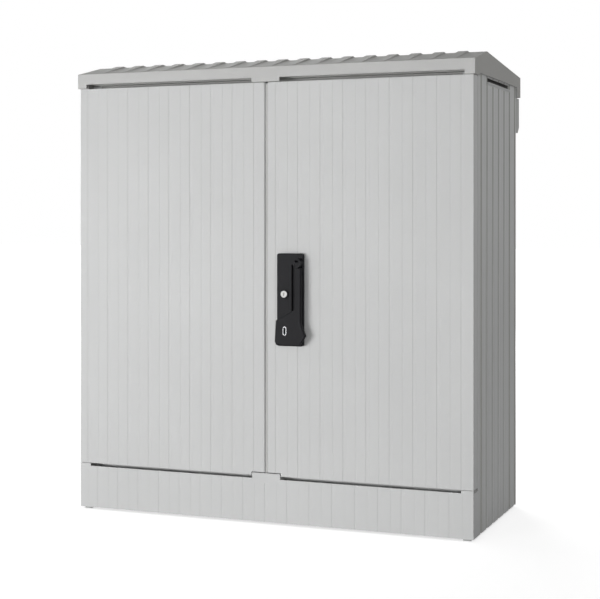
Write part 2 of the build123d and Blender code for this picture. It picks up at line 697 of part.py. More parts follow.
def make_gland(x, y):
    """Cable gland: hexagon flange, body through the floor, nut below, bore for the cable."""
    top = FLOOR_TOP
    gland = Pos(x, y, top) * extrude(RegularPolygon(GLAND_BODY_R, 6), 8)
    gland = gland + rod_z(x, y, top - 18, top + 8, GLAND_BODY_R - 3.3)
    gland = gland + rod_z(x, y, top + 8, top + 20, GLAND_BODY_R - 3)
    gland = gland + Pos(x, y, FRAME_TOP - 6) * extrude(RegularPolygon(GLAND_BODY_R, 6), 6)
    return gland - rod_z(x, y, top - 30, top + 30, GLAND_R)


def make_hinge_block(top):
    """Corner block that carries a pivot pin, under or over the right door."""
    x1 = HX - 1
    x0 = x1 - HINGE_BLOCK_W
    y0 = FRONT + WALL + SEAT
    y1 = PIVOT_Y + HINGE_BLOCK_R
    if top:
        piece = block(x0, x1, y0, y1, DOOR_TOP + SEAT, FASCIA_BOTTOM)
    else:
        piece = block(x0, x1, y0, y1, BAND_TOP, DOOR_Z0 - SEAT)
    return piece - rod_z(PIVOT_X, PIVOT_Y, 0, RIDGE_Z, PIN_R)


def make_hinge_pin(top):
    """Pivot pin with a head behind the panel it hangs in."""
    if top:
        return rod_z(PIVOT_X, PIVOT_Y, DOOR_TOP - BOSS_L + 8, HEAD_SHELF_TOP, PIN_R) + rod_z(
            PIVOT_X, PIVOT_Y, HEAD_SHELF_TOP, HEAD_SHELF_TOP + 3, PIN_R + 3)
    return rod_z(PIVOT_X, PIVOT_Y, BAND_TOP - WALL, DOOR_Z0 + BOSS_L - 8, PIN_R) + rod_z(
        PIVOT_X, PIVOT_Y, BAND_TOP - WALL - 3, BAND_TOP - WALL, PIN_R + 1.5)


def pin_hole():
    """Hole for the pins through the foot panel and the head shelf."""
    return rod_z(PIVOT_X, PIVOT_Y, 0, RIDGE_Z, PIN_R)


def make_fixing_bracket():
    """Rear corner bracket that stands the cabinet off a wall; its lower end is cut to a slope."""
    y0 = REAR
    y1 = REAR + FIXING_OUT
    z1 = REAR_SKIRT_BOTTOM - 1
    z0 = z1 - FIXING_H
    x1 = HX - FIXING_IN
    x0 = x1 - FIXING_W
    side = [(y0, z0), (y1 - FIXING_SLOPE, z0), (y1, z0 + FIXING_SLOPE), (y1, z1), (y0, z1)]
    bracket = prism_x(side, x0, x1)
    bracket = bracket - block(x0 - 1, x1 - STEEL, y0 + STEEL, y1 - STEEL, z0 - 1, z1 + 1)
    bracket = bracket - rod_y((x0 + x1) / 2, y1 - STEEL - 1, y1 + 1, (z0 + z1) / 2 + 4, FIXING_R)
    for hole in bracket_bolt_holes():
        bracket = bracket - hole
    return bracket


def make_keeper(x, z, up):
    """Angle keeper on the rim with a hole that a rod's tip goes into."""
    z_in, z_out = (z, HEAD_Z) if up else (z, SILL_Z)
    top = max(z_in, z_out)
    low = min(z_in, z_out)
    plate_z0 = low if up else top - KEEPER_T
    plate = block(x - 14, x + 14, ROD_Y - 11, ROD_Y + 12, plate_z0, plate_z0 + KEEPER_T)
    leg = block(x - 14, x + 14, ROD_Y + 12 - KEEPER_T, ROD_Y + 12, low, top)
    return plate + leg - rod_z(x, ROD_Y, low - 1, top + 1, ROD_R + 1)


def make_keepers():
    """Keepers at the head and at the sill for the rods and the shoot bolts."""
    left = HUB_X - ROD_OFF
    right = HUB_X + ROD_OFF
    return [make_keeper(left, TOP_KEEPER_Z, True), make_keeper(right, BOTTOM_KEEPER_Z, False),
            make_keeper(-BOLT_X, TOP_KEEPER_Z, True), make_keeper(-BOLT_X, BOTTOM_KEEPER_Z, False)]


def involute_pinion():
    """Outline of the pinion: involute flanks joined by tip and root, 25 degree pressure angle."""
    alpha = radians(PRESSURE)
    base_r = PITCH_R * cos(alpha)
    tip_r = PITCH_R + 0.9 * MODULE
    root_r = PITCH_R - 1.15 * MODULE
    half = (pi * MODULE / 2 - BACKLASH) / 2 / PITCH_R
    inv = tan(alpha) - alpha
    steps = 5
    flank = []
    for k in range(steps + 1):
        r = base_r + (tip_r - base_r) * k / steps
        a = 0.0 if r <= base_r else tan_angle(base_r, r)
        flank.append((r, half + inv - (tan(a) - a)))
    points = []
    for n in range(TEETH):
        c = 2 * pi * (n + 0.5) / TEETH
        left = [(root_r, flank[0][1])] + flank
        points += [(r * cos(c - w), r * sin(c - w)) for r, w in left]
        points += [(r * cos(c + w), r * sin(c + w)) for r, w in reversed(left)]
    return points


def tan_angle(base_r, r):
    """Pressure angle of the involute at radius r."""
    return atan(((r / base_r) ** 2 - 1) ** 0.5)


def make_spindle():
    """Hub under the lever, round spindle through the door and its pinion."""
    pinion = prism_y([(HUB_X + x, HUB_Z + z) for x, z in involute_pinion()], GEAR_Y0, GEAR_Y0 + GEAR_T)
    shaft = rod_y(HUB_X, PLATE_FRONT - SEAT, GEAR_Y0 + GEAR_T + CASE_T + 1, HUB_Z, SPINDLE_R)
    hub = rod_y(HUB_X, LEVER_BACK, LEVER_BACK - LEVER_T, HUB_Z, HUB_R)
    half = TONGUE_W / 2 + SEAT
    slot = block(HUB_X - half, HUB_X + half, LEVER_BACK - LEVER_T - 1, LEVER_BACK - HUB_T,
                 HUB_Z - HUB_R - 1, HUB_Z + LEVER_PIN_R + 4.5)
    pin = Pos(HUB_X, LEVER_PIN_Y, HUB_Z) * Rot(0, 90, 0) * Cylinder(LEVER_PIN_R, 2 * HUB_R - 5)
    return pinion + shaft + (hub - slot) + pin


def make_rack(side, z0, z1):
    """Toothed part of a rod; side is 1 for the one right of the pinion."""
    pitch = pi * MODULE
    alpha = radians(PRESSURE)
    add = 0.9 * MODULE
    ded = 1.15 * MODULE
    line = HUB_X + side * PITCH_R
    half = (pitch / 2 - BACKLASH) / 2
    points = [(line + side * (ded + RACK_W - 1.0), z0), (line + side * ded, z0)]
    count = int((z1 - z0) / pitch)
    for k in range(-count, count + 1):
        z = HUB_Z + k * pitch
        if z - half - ded < z0 or z + half + ded > z1:
            continue
        root = half + ded * tan(alpha)
        tip = half - add * tan(alpha)
        points += [(line + side * ded, z - root), (line - side * add, z - tip)]
        points += [(line - side * add, z + tip), (line + side * ded, z + root)]
    points += [(line + side * ded, z1), (line + side * (ded + RACK_W - 1.0), z1)]
    return prism_y(points, GEAR_Y0, GEAR_Y0 + GEAR_T)


def rod_x(side):
    return HUB_X + side * ROD_OFF


def make_upper_rod():
    """Rod left of the pinion with its rack; its tip ends just below the head keeper."""
    x = rod_x(-1)
    rack = make_rack(-1, HUB_Z - 15, HUB_Z + 36)
    return rack + rod_z(x, ROD_Y, HUB_Z + 33, TOP_KEEPER_Z - ROD_STOP, THIN_ROD_R)


def make_lower_rod():
    """Rod right of the pinion with its rack; its tip ends just above the sill keeper."""
    x = rod_x(1)
    rack = make_rack(1, HUB_Z - 36, HUB_Z + 15)
    return rack + rod_z(x, ROD_Y, BOTTOM_KEEPER_Z + ROD_STOP, HUB_Z - 33, THIN_ROD_R)


def make_gear_case():
    """Case over pinion and racks, open above and below for the rods."""
    x0 = HUB_X - 30
    x1 = HUB_X + 30
    y0 = FRONT + WALL
    y1 = GEAR_Y0 + GEAR_T + CASE_T + SEAT
    z0 = HUB_Z - 38
    z1 = HUB_Z + 38
    case = block(x0, x1, y0, y1, z0, z1)
    inside = block(x0 + 2.5, x1 - 2.5, GEAR_Y0 - SEAT, y1 - CASE_T, z0 - 1, z1 + 1)
    case = case - inside
    return case - rod_y(HUB_X, y0 - 1, y1 + 1, HUB_Z, SPINDLE_R + PIN_RUN)


def make_rod_guide(x, z):
    """Bridge on the door's skin with a round hole for a rod."""
    y0 = FRONT + WALL
    guide = block(x - 9, x + 9, y0, ROD_Y + 9, z - 5, z + 5)
    return guide - rod_z(x, ROD_Y, z - 6, z + 6, THIN_ROD_R + SLIDE_RUN)


def make_rod_guides():
    """Two guides for each rod, the outer one near its keeper."""
    upper = (HUB_Z + (TOP_KEEPER_Z - HUB_Z) * GUIDE_SHARE, TOP_KEEPER_Z - GUIDE_IN)
    lower = (HUB_Z - (HUB_Z - BOTTOM_KEEPER_Z) * GUIDE_SHARE, BOTTOM_KEEPER_Z + GUIDE_IN)
    return [make_rod_guide(rod_x(-1), z) for z in upper] + [make_rod_guide(rod_x(1), z) for z in lower]


def make_lock_plate():
    """Lock plate: rounded, with a low bezel, a well beside the lever and a ring round the plug."""
    body = Pos(LOCK_X, 0, LOCK_Z0 + LOCK_H / 2) * Rot(90, 0, 0) * extrude(
        RectangleRounded(LOCK_W, LOCK_H, 5), PLATE_T)
    body = Pos(0, FRONT, 0) * body
    well = block(WELL_X - WELL_W / 2, WELL_X + WELL_W / 2, PLATE_FRONT - 1, PLATE_FRONT + WELL_DEEP,
                 LOCK_Z0 + 0.38 * LOCK_H, LOCK_Z0 + 0.88 * LOCK_H)
    body = body - well
    body = body + rod_y(PLUG_X, PLATE_FRONT + 1, PLATE_FRONT - 3, PLUG_Z, PLUG_R + 3)
    body = body - rod_y(PLUG_X, PLATE_FRONT - 5, PLATE_FRONT + 8, PLUG_Z, PLUG_R + PIN_RUN)
    return body - rod_y(HUB_X, PLATE_FRONT - 1, FRONT + 1, HUB_Z, SPINDLE_R + PIN_RUN)


def make_plug():
    """Lock plug with its key slot."""
    plug = rod_y(PLUG_X, PLATE_FRONT - 3, PLATE_FRONT + 7.7, PLUG_Z, PLUG_R)
    return plug - block(PLUG_X - 0.8, PLUG_X + 0.8, PLATE_FRONT - 5, PLATE_FRONT + 2, PLUG_Z - 4, PLUG_Z + 4)


def make_lever():
    """Lever hung from the hub, with a wide grip at its lower end."""
    y0 = LEVER_BACK - HUB_T - SEAT
    y1 = LEVER_BACK - LEVER_T
    top = HUB_Z - HUB_R - 1
    low = LOCK_Z0 + 3
    left = LOCK_X - LOCK_W / 2 + 1
    right = LOCK_X + LOCK_W / 2
    stem = right - STEM_W
    shoulder = low + GRIP_H
    outline = [(stem, top), (right, top), (right, low + FLARE_H), (right + 3, low + FLARE_H - 10),
               (right + FLARE, low + FLARE_UP), (right - 3, low), (left + 2, low), (left - 2, low + 8),
               (left + 1, shoulder), (left + 10, shoulder + 6), (stem - 6, shoulder + 0.7 * GRIP_RUN),
               (stem, shoulder + GRIP_RUN)]
    lever = prism_y(outline, y1, y0)
    lever = fillet(lever.edges().filter_by(Axis.Y), 2.5)
    lever = chamfer(lever.faces().sort_by(Axis.Y)[0].edges(), 1.5)
    tongue = block(HUB_X - TONGUE_W / 2, HUB_X + TONGUE_W / 2, LEVER_PIN_Y - KNUCKLE_R,
                   LEVER_PIN_Y + KNUCKLE_R, top - 6, HUB_Z)
    knuckle = Pos(HUB_X, LEVER_PIN_Y, HUB_Z) * Rot(0, 90, 0) * Cylinder(KNUCKLE_R, TONGUE_W)
    bore = Pos(HUB_X, LEVER_PIN_Y, HUB_Z) * Rot(0, 90, 0) * Cylinder(LEVER_PIN_R + PIN_RUN, TONGUE_W + 2)
    dish = block(left + 5, right - 4, y0 - 2.5, y0 + 1, low + 6, low + 54)
    return lever + tongue + knuckle - bore - dish - eye_body(0)


def eye_body(wall):
    """Oval through the grip for a padlock, smaller by wall."""
    oval = SlotOverall(EYE_H - 2 * wall, EYE_W - 2 * wall)
    body = extrude(oval, LEVER_T + 4, both=True)
    return Pos(EYE_X, LEVER_BACK - LEVER_T / 2, LOCK_Z0 + EYE_UP) * Rot(90, 0, 0) * Rot(0, 0, 90) * body


def make_padlock_eye():
    """Steel liner of the grip's padlock eye."""
    y0 = LEVER_BACK - HUB_T - 2.7
    keep = block(EYE_X - EYE_H, EYE_X + EYE_H, LEVER_BACK - LEVER_T, y0, LOCK_Z0, LOCK_Z0 + LOCK_H)
    return (eye_body(0) & keep) - eye_body(EYE_WALL)


def make_shoot_bolt(up):
    """Round shoot bolt of the left door with a knob, its tip just short of the keeper."""
    if up:
        z1 = TOP_KEEPER_Z - ROD_STOP
        z0 = z1 - BOLT_L
    else:
        z0 = BOTTOM_KEEPER_Z + ROD_STOP
        z1 = z0 + BOLT_L
    knob = rod_y(-BOLT_X, ROD_Y, ROD_Y + 18, (z0 + z1) / 2, KNOB_R)
    return rod_z(-BOLT_X, ROD_Y, z0, z1, BOLT_R) + knob


def make_bolt_guides():
    """Guides on the left door for its two shoot bolts."""
    guides = []
    for z1 in (TOP_KEEPER_Z - ROD_STOP, BOTTOM_KEEPER_Z + ROD_STOP + BOLT_L):
        for z in (z1 - 26, z1 - BOLT_L + 14):
            guide = block(-BOLT_X - 10, -BOLT_X + 10, FRONT + WALL, ROD_Y + 9, z - 5, z + 5)
            guides.append(guide - rod_z(-BOLT_X, ROD_Y, z - 6, z + 6, BOLT_R + SLIDE_RUN))
    return guides


def rack_y():
    """Front and rear planes of the rack."""
    front = STEEL_Y + RACK_FRONT
    return front, front + MOD_D + 2 * MOD_FIT


def make_uprights():
    """Angle uprights of the battery rack, from the floor plate to the roof bracket level."""
    y0, y1 = rack_y()
    posts = []
    for x, sx in ((RACK_X0, 1), (RACK_X1, -1)):
        for y, sy in ((y0, 1), (y1, -1)):
            post = block(x, x + sx * UPRIGHT_T, y, y + sy * 30, FLOOR_TOP, HEAD_Z - 20)
            post = post + block(x, x + sx * UPRIGHT, y, y + sy * UPRIGHT_T, FLOOR_TOP, HEAD_Z - 20)
            posts.append(post)
    return posts


def make_shelf(k):
    """Folded tray between the uprights with turned-down edges."""
    y0, y1 = rack_y()
    z = SHELF_Z + k * MOD_PITCH
    x0 = RACK_X0 + UPRIGHT_T
    x1 = RACK_X1 - UPRIGHT_T
    tray = block(x0, x1, y0 + UPRIGHT_T, y1 - UPRIGHT_T, z - SHELF_EDGE, z)
    tray = tray - block(x0 + SHELF_T, x1 - SHELF_T, y0 + UPRIGHT_T + SHELF_T, y1 - UPRIGHT_T - SHELF_T,
                        z - SHELF_EDGE - 1, z - SHELF_T)
    for n in range(5):
        x = x0 + (x1 - x0) * (n + 1) / 6
        half = SHELF_SLOT / 2
        tray = tray - block(x - half, x + half, y0 + SHELF_RIM, y1 - SHELF_RIM, z - SHELF_T - 1, z + 1)
    return tray


def module_front():
    """Front plane of the battery modules."""
    return rack_y()[0] + MOD_FIT


def module_z(k):
    """Underside of one battery module."""
    return SHELF_Z + k * MOD_PITCH


def make_module(k):
    """Closed battery module: case, raised front panel, vent slots and two bow handles."""
    mid = (RACK_X0 + RACK_X1) / 2
    x0 = mid - MOD_W / 2
    x1 = mid + MOD_W / 2
    y0 = module_front()
    z = module_z(k)
    case = block(x0, x1, y0 + 4, y0 + MOD_D, z, z + MOD_H)
    panel = block(x0 + 4, x1 - 4, y0, y0 + 5, z + 4, z + MOD_H - 4)
    body = case + panel
    for n in range(8):
        x = x0 + 120 + n * 14
        body = body - block(x, x + 5, y0 - 1, y0 + 3, z + 20, z + 60)
    for side in (x0 + 28, x1 - 28):
        bow = block(side - 5, side + 5, y0 - 28, y0 + 0.5, z + 40, z + MOD_H - 40)
        body = body + (bow - block(side - 6, side + 6, y0 - 20, y0, z + 50, z + MOD_H - 50))
    return body


def terminal_x(sign):
    return (RACK_X0 + RACK_X1) / 2 + sign * TERMINAL_X


def make_terminals():
    """Hexagon terminals on the modules' fronts, two on each."""
    studs = []
    for k in range(MODULES):
        z = module_z(k) + MOD_H - TERMINAL_DOWN
        for sign in (-1, 1):
            stud = Rot(90, 0, 0) * extrude(RegularPolygon(TERMINAL_R, 6), TERMINAL_L)
            studs.append(Pos(terminal_x(sign), module_front(), z) * stud)
    return studs


def make_busbar(sign):
    """Upright busbar across one pole of all modules."""
    x = terminal_x(sign)
    y = module_front() - TERMINAL_L
    z0 = module_z(0) + MOD_H - TERMINAL_DOWN - 15
    z1 = module_z(MODULES - 1) + MOD_H - TERMINAL_DOWN + 15
    return block(x - BUSBAR_W / 2, x + BUSBAR_W / 2, y - BUSBAR_T, y, z0, z1)


def make_equipment_plate():
    """Folded mounting plate of the equipment bay with feet on the floor plate."""
    z0 = FLOOR_TOP
    plate = block(PLATE_X0, PLATE_X1, PLATE_Y, PLATE_Y + EQUIP_T, z0, HEAD_Z - PLATE_HEAD)
    for x in (PLATE_X0, PLATE_X1 - EQUIP_T):
        plate = plate + block(x, x + EQUIP_T, PLATE_Y, PLATE_Y + PLATE_FOLD, z0, HEAD_Z - PLATE_HEAD)
    return plate + block(PLATE_X0, PLATE_X1, PLATE_Y - PLATE_FOOT, PLATE_Y + EQUIP_T, z0, z0 + EQUIP_T)


def make_inverter():
    """Converter: closed case with upright cooling fins on its front."""
    mid = BAY_MID
    y1 = PLATE_Y
    y0 = y1 - INV_D
    body = block(mid - INV_W / 2, mid + INV_W / 2, y0, y1, INV_Z, INV_Z + INV_H)
    step = (INV_W - 2 * FIN_SIDE) / (FIN_COUNT - 1)
    z0 = INV_Z + FIN_LOW
    z1 = INV_Z + INV_H - FIN_HIGH
    for n in range(FIN_COUNT):
        x = mid - INV_W / 2 + FIN_SIDE + n * step
        fin = block(x - FIN_T / 2, x + FIN_T / 2, y0 - FIN_DEEP, y0 + 1, z0, z1)
        body = body + fin
    return body


def make_controller():
    """Battery controller on the rail."""
    x0 = PLATE_X0 + 24
    y1 = RAIL_FRONT
    body = block(x0, x0 + CTRL_W, y1 - CTRL_D + 14, y1, RAIL_Z - CTRL_H / 2, RAIL_Z + CTRL_H / 2)
    return body + block(x0, x0 + CTRL_W, y1 - CTRL_D, y1 - CTRL_D + 15, RAIL_Z - 22, RAIL_Z + 22)


def make_rail():
    """Top-hat rail that carries controller and breaker."""
    y0 = RAIL_FRONT
    rail = block(PLATE_X0 + 14, PLATE_X1 - 14, y0, y0 + 1.5, RAIL_Z - 17.5, RAIL_Z + 17.5)
    web = block(PLATE_X0 + 14, PLATE_X1 - 14, y0, PLATE_Y, RAIL_Z - 13, RAIL_Z + 13)
    return rail + web - block(PLATE_X0, PLATE_X1, y0 - 1, PLATE_Y - 1.5, RAIL_Z - 11.5, RAIL_Z + 11.5)


def breaker_mid():
    return PLATE_X1 - 24 - BREAKER_W / 2


def make_breaker():
    """Main breaker with a stepped front and a slot for its toggle."""
    x = breaker_mid()
    y1 = RAIL_FRONT
    body = block(x - BREAKER_W / 2, x + BREAKER_W / 2, y1 - BREAKER_D + 18, y1, RAIL_Z - BREAKER_H / 2,
                 RAIL_Z + BREAKER_H / 2)
    nose = block(x - BREAKER_W / 2, x + BREAKER_W / 2, y1 - BREAKER_D, y1 - BREAKER_D + 19, RAIL_Z - 23,
                 RAIL_Z + 23)
    slot = block(x - 8.5, x + 8.5, y1 - BREAKER_D - 1, y1 - BREAKER_D + 17, RAIL_Z - 14, RAIL_Z + 14)
    return body + nose - slot


def toggle_axis_y():
    return RAIL_FRONT - BREAKER_D + 9


def make_toggle():
    """Breaker toggle: round barrel with a finger bar, at rest switched up."""
    x = breaker_mid()
    y = toggle_axis_y()
    barrel = Pos(x, y, RAIL_Z) * Rot(0, 90, 0) * Cylinder(7.5, 16.4)
    bar = Pos(x, y, RAIL_Z) * Rot(-24, 0, 0) * Pos(0, -13, 0) * Box(14, 18, 5)
    return barrel + bar


def fan_places():
    """Centres of the two exhaust fans below the roof."""
    y = PLATE_Y - FAN_FORWARD
    return [(BAY_MID - FAN_SPREAD, y), (BAY_MID + FAN_SPREAD, y)]


def make_fan_frame(x, y):
    """Square fan frame with a round throat and three struts that hold its hub."""
    half = FAN / 2
    frame = block(x - half, x + half, y - half, y + half, FAN_Z, FAN_Z + FAN_T)
    frame = frame - rod_z(x, y, FAN_Z - 1, FAN_Z + FAN_T + 1, half - 3)
    frame = frame + rod_z(x, y, FAN_Z, FAN_Z + 4, FAN_HUB_R)
    for n in range(3):
        strut = block(0, half - 1, -2, 2, 0, 4)
        frame = frame + Pos(x, y, FAN_Z) * Rot(0, 0, 120 * n + 30) * strut
    return frame + rod_z(x, y, FAN_Z, FAN_Z + 14, FAN_STUD_R)


def make_fan_rotor(x, y):
    """Fan rotor: hub with pitched blades, turning on the frame's stud."""
    hub_z = FAN_Z + 5
    rotor = rod_z(x, y, hub_z, FAN_Z + FAN_T - 1, FAN_HUB_R)
    rotor = rotor - rod_z(x, y, hub_z - 1, FAN_Z + 15, FAN_STUD_R + PIN_RUN)
    reach = FAN / 2 - 3 - FAN_RUN
    for n in range(FAN_BLADES):
        blade = Pos((14 + reach) / 2, 0, 0) * Rot(35, 0, 0) * Box(reach - 14, 16, 1.8)
        blade = Pos(x, y, (hub_z + FAN_Z + FAN_T - 1) / 2) * Rot(0, 0, n * 360 / FAN_BLADES) * blade
        rotor = rotor + blade
    rim = rod_z(x, y, FAN_Z, FAN_Z + FAN_T, reach)
    return rotor & rim


def make_fan_bracket():
    """Shelf under the fans, folded from the mounting plate's top, with a hole for each fan."""
    x0 = PLATE_X0
    x1 = PLATE_X1
    y0 = PLATE_Y - FAN_FORWARD - FAN / 2 - 6
    shelf = block(x0, x1, y0, PLATE_Y, FAN_Z - EQUIP_T, FAN_Z)
    for x, y in fan_places():
        shelf = shelf - rod_z(x, y, FAN_Z - EQUIP_T - 1, FAN_Z + 1, FAN / 2 - 4)
    return shelf


def make_filter(side):
    """Filter cassette behind a side wall's vent slot."""
    x = side * (HX - WALL)
    top = SLOT_Z + SLOT_H
    piece = block(x, x - side * 10, SLOT_Y0 - 6, SLOT_Y1 + 6, SLOT_Z - 6, top + 5)
    inside = block(x + side, x - side * 8, SLOT_Y0, SLOT_Y1, SLOT_Z - 1, top + 1)
    piece = piece - inside
    step = (SLOT_Y1 - SLOT_Y0) / FILTER_BAYS
    for n in range(FILTER_BAYS):
        y = SLOT_Y0 + n * step + FILTER_BAR / 2
        piece = piece - block(x, x - side * 11, y, y + step - FILTER_BAR, SLOT_Z, top)
    return piece


def make_earth_bar():
    """Earth bar on two stand-offs with a row of screw heads."""
    z = FLOOR_TOP + 60
    bar = block(PLATE_X0 + 60, PLATE_X1 - 60, PLATE_Y - 18, PLATE_Y - 12, z, z + 20)
    for x in (PLATE_X0 + 80, PLATE_X1 - 80):
        bar = bar + rod_y(x, PLATE_Y - 12.5, PLATE_Y, z + 10, 7)
    for n in range(EARTH_SCREWS):
        head = Rot(90, 0, 0) * extrude(RegularPolygon(EARTH_SCREW_R, 6), 5)
        bar = bar + Pos(BAY_MID + (n - (EARTH_SCREWS - 1) / 2) * EARTH_PITCH, PLATE_Y - 18, z + 10) * head
    return bar


def make_roof_bracket(sx, y):
    """Corner angle that ties a side wall's top to the roof."""
    x = sx * (HX - WALL)
    top = BRACKET_TOP
    leg = block(x, x - sx * STEEL, y, y + BRACKET_L, top - BRACKET_TALL, top)
    angle = leg + block(x, x - sx * BRACKET_OUT, y, y + BRACKET_L, top - STEEL, top)
    return angle - rod_z(x - sx * ROOF_BOLT_IN, y + BRACKET_L / 2, top - 10, top + 1, ROOF_BOLT_R)


def build():
    """Make every piece and write it out."""
    hole = pin_hole()
    save(make_floor_frame(), "floor_frame")
    save_group(make_pads(), "levelling_pads")
    save(make_foot_panel() - hole - mirrored(hole), "foot_panel")
    save(make_side_wall(), "side_wall_right")
    save(mirrored(make_side_wall()), "side_wall_left")
    save(make_rear_wall(), "rear_wall")
    save(make_floor_plate(), "floor_plate")
    save_group([make_gland(x, y) for x, y in gland_places()], "cable_glands")
    save(make_frame_head() - hole - mirrored(hole), "frame_head")
    save_group([make_rim_jamb(), mirrored(make_rim_jamb())], "rim_jambs")
    save_group([make_rim_sill(), make_rim_head()], "rim_rails")
    save(make_centre_post(), "centre_post")
    save_group([make_gasket(1), make_gasket(-1)], "door_gaskets")
    save(make_roof(), "roof")
    save_group([make_roof_bracket(sx, y) for sx in (-1, 1) for y in bracket_starts()], "roof_brackets")
    bolts = [make_bracket_bolt(x, z) for x, z in bracket_bolt_places()]
    bolts += [mirrored(b) for b in bolts]
    bolts += [make_roof_bolt(x, y) for x, y in roof_bolt_places()]
    save_group(bolts, "carcass_bolts")
    bracket = make_fixing_bracket()
    save_group([bracket, mirrored(bracket)], "fixing_brackets")
    blocks = [make_hinge_block(top) for top in (False, True)]
    save_group(blocks + [mirrored(b) for b in blocks], "hinge_blocks")
    pins = [make_hinge_pin(top) for top in (False, True)]
    save_group(pins + [mirrored(p) for p in pins], "hinge_pins")
    save_group(make_keepers(), "keepers")
    save_group(make_uprights(), "rack_uprights")
    for k in range(MODULES):
        save(make_shelf(k), f"shelf_{k + 1}")
        save(make_module(k), f"battery_module_{k + 1}")
    save_group(make_terminals(), "module_terminals")
    save(make_busbar(-1), "busbar_negative")
    save(make_busbar(1), "busbar_positive")
    save(make_equipment_plate(), "equipment_plate")
    save(make_inverter(), "converter")
    save(make_controller(), "battery_controller")
    save(make_rail(), "mounting_rail")
    save(make_breaker(), "breaker_body")
    save(make_toggle(), "breaker_toggle")
    save(make_fan_bracket(), "fan_shelf")
    save_group([make_fan_frame(x, y) for x, y in fan_places()], "fan_frames")
    for name, (x, y) in zip(("left", "right"), fan_places()):
        save(make_fan_rotor(x, y), f"fan_rotor_{name}")
    save_group([make_filter(1), make_filter(-1)], "vent_filters")
    save(make_earth_bar(), "earth_bar")
    save(make_left_door(), "left_door")
    save_group(make_bolt_guides(), "bolt_guides")
    save(make_shoot_bolt(True), "upper_shoot_bolt")
    save(make_shoot_bolt(False), "lower_shoot_bolt")
    save(make_right_door(), "right_door")
    save(make_gear_case(), "gear_case")
    save(make_spindle(), "lock_spindle")
    save(make_upper_rod(), "upper_rod")
    save(make_lower_rod(), "lower_rod")
    save_group(make_rod_guides(), "rod_guides")
    save(make_lock_plate(), "lock_plate")
    save(make_plug(), "lock_plug")
    save(make_lever(), "lock_lever")
    save(make_padlock_eye(), "padlock_eye")


build()
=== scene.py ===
import json
import math

import bmesh
import bpy
from mathutils import Matrix, Vector


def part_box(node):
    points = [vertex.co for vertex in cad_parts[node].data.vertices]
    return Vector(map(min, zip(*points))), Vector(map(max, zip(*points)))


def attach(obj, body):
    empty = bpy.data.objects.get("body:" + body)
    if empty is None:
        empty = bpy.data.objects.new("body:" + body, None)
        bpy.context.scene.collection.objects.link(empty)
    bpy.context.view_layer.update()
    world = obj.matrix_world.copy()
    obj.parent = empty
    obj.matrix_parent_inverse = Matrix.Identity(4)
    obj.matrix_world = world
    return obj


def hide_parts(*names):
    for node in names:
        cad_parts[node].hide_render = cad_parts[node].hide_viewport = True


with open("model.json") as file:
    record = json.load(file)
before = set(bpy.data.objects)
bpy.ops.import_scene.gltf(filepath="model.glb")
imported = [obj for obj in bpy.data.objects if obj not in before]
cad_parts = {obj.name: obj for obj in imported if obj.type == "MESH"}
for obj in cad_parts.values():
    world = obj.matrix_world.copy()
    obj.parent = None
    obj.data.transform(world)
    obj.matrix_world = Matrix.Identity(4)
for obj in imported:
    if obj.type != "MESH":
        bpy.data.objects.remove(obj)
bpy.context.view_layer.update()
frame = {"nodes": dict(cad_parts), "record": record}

# Lengths are in metres

# Camera, with its turn in degrees, and its lens and sensor in millimetres
CAM_PLACE = (1.278, -3.221, 0.718)
CAM_YAW = 21.6
LENS = 83.4
SENSOR = 36.0
SHIFT_Y = -0.134

# Lamps: place, what it looks at, width, height and power
LAMPS = (
    ("key_lamp", (-2.4, -4.8, 0.38), (0.0, -0.2, -4.1), 2.4, 0.7, 161.0),
    ("side_lamp", (1.7, -4.2, 0.6), (0.5, 0.0, 0.5), 0.5, 0.5, 26.0),
    ("back_lamp", (-2.2, 4.6, 2.2), (0.0, 0.2, 0.5), 2.0, 2.0, 90.0),
)
WORLD_LOW = 0.42     # ambient light from the horizon
WORLD_TOP = 0.18     # ambient light from above

# Floor
FLOOR_SIZE = 60.0
FLOOR_GREY = 0.90
FLOOR_ROUGH = 0.9
FLOOR_GLOW = 0.68    # its own brightness to the camera, close to the cabinet
GLOW_NEAR = 0.9      # from here outwards the glow rises
GLOW_FAR = 2.6       # from here outwards the floor is white

# Finishes: large patches of colour, and a fine grain for gloss and relief
PATCH_SCALE = 3.5
PATCH_DETAIL = 4.0
GRAIN_DETAIL = 2.0
GLOSS_VARY = 0.05
GRAIN_DEPTH = 0.0004

# Meshes
WELD = 1e-5                     # corners closer than this are one
FLAT = math.radians(1.0)        # faces that turn less than this are one
QUAD_SKEW = math.radians(60.0)  # how far two triangles' quad may be from a rectangle
TURN_SLACK = 1e-12              # a corner that turns inward by less than this is straight
ROUND_STEPS = 2
NODE_EDGE = math.radians(28)    # sharper edges of CAD nodes are rounded
PIECE_EDGE = math.radians(40)   # sharper edges of added pieces are rounded
SMOOTH_EDGE = math.radians(35)  # sharper edges of added pieces are shaded as edges
SUNK = 0.0004                   # lamps start this far inside the face they stand on

# Where painted shade and a second finish start
FASCIA_TOP = 1.0762  # above this the roof slopes
GABLE_SKIN = 0.0005  # the gables' faces lie this close to the roof's ends
LIP_OUT = 0.0035     # the vent's drip lip stands out from the side wall
# painted shade darkens the side walls' groove floors between these two depths
GROOVE_SHADE_HIGH = 0.0009   # grooves' floors lie between these two depths
GROOVE_SHADE_LOW = 0.0032
PLATE_FRONT = -0.2221    # just before the lock plate's face

MODULE_NAMES = ["battery_module_1", "battery_module_2", "battery_module_3", "battery_module_4"]
SHELF_NAMES = ["shelf_1", "shelf_2", "shelf_3", "shelf_4"]
WALL_NAMES = ["side_wall_left", "side_wall_right"]

NODES = frame["nodes"]
BODY_OF = {}
for body_name, members in frame["record"]["behaviour"]["bodies"].items():
    for member in members:
        BODY_OF[member] = body_name
SLOT_OF = {row["node"]: row["material_slot"] for row in frame["record"]["subparts"]}


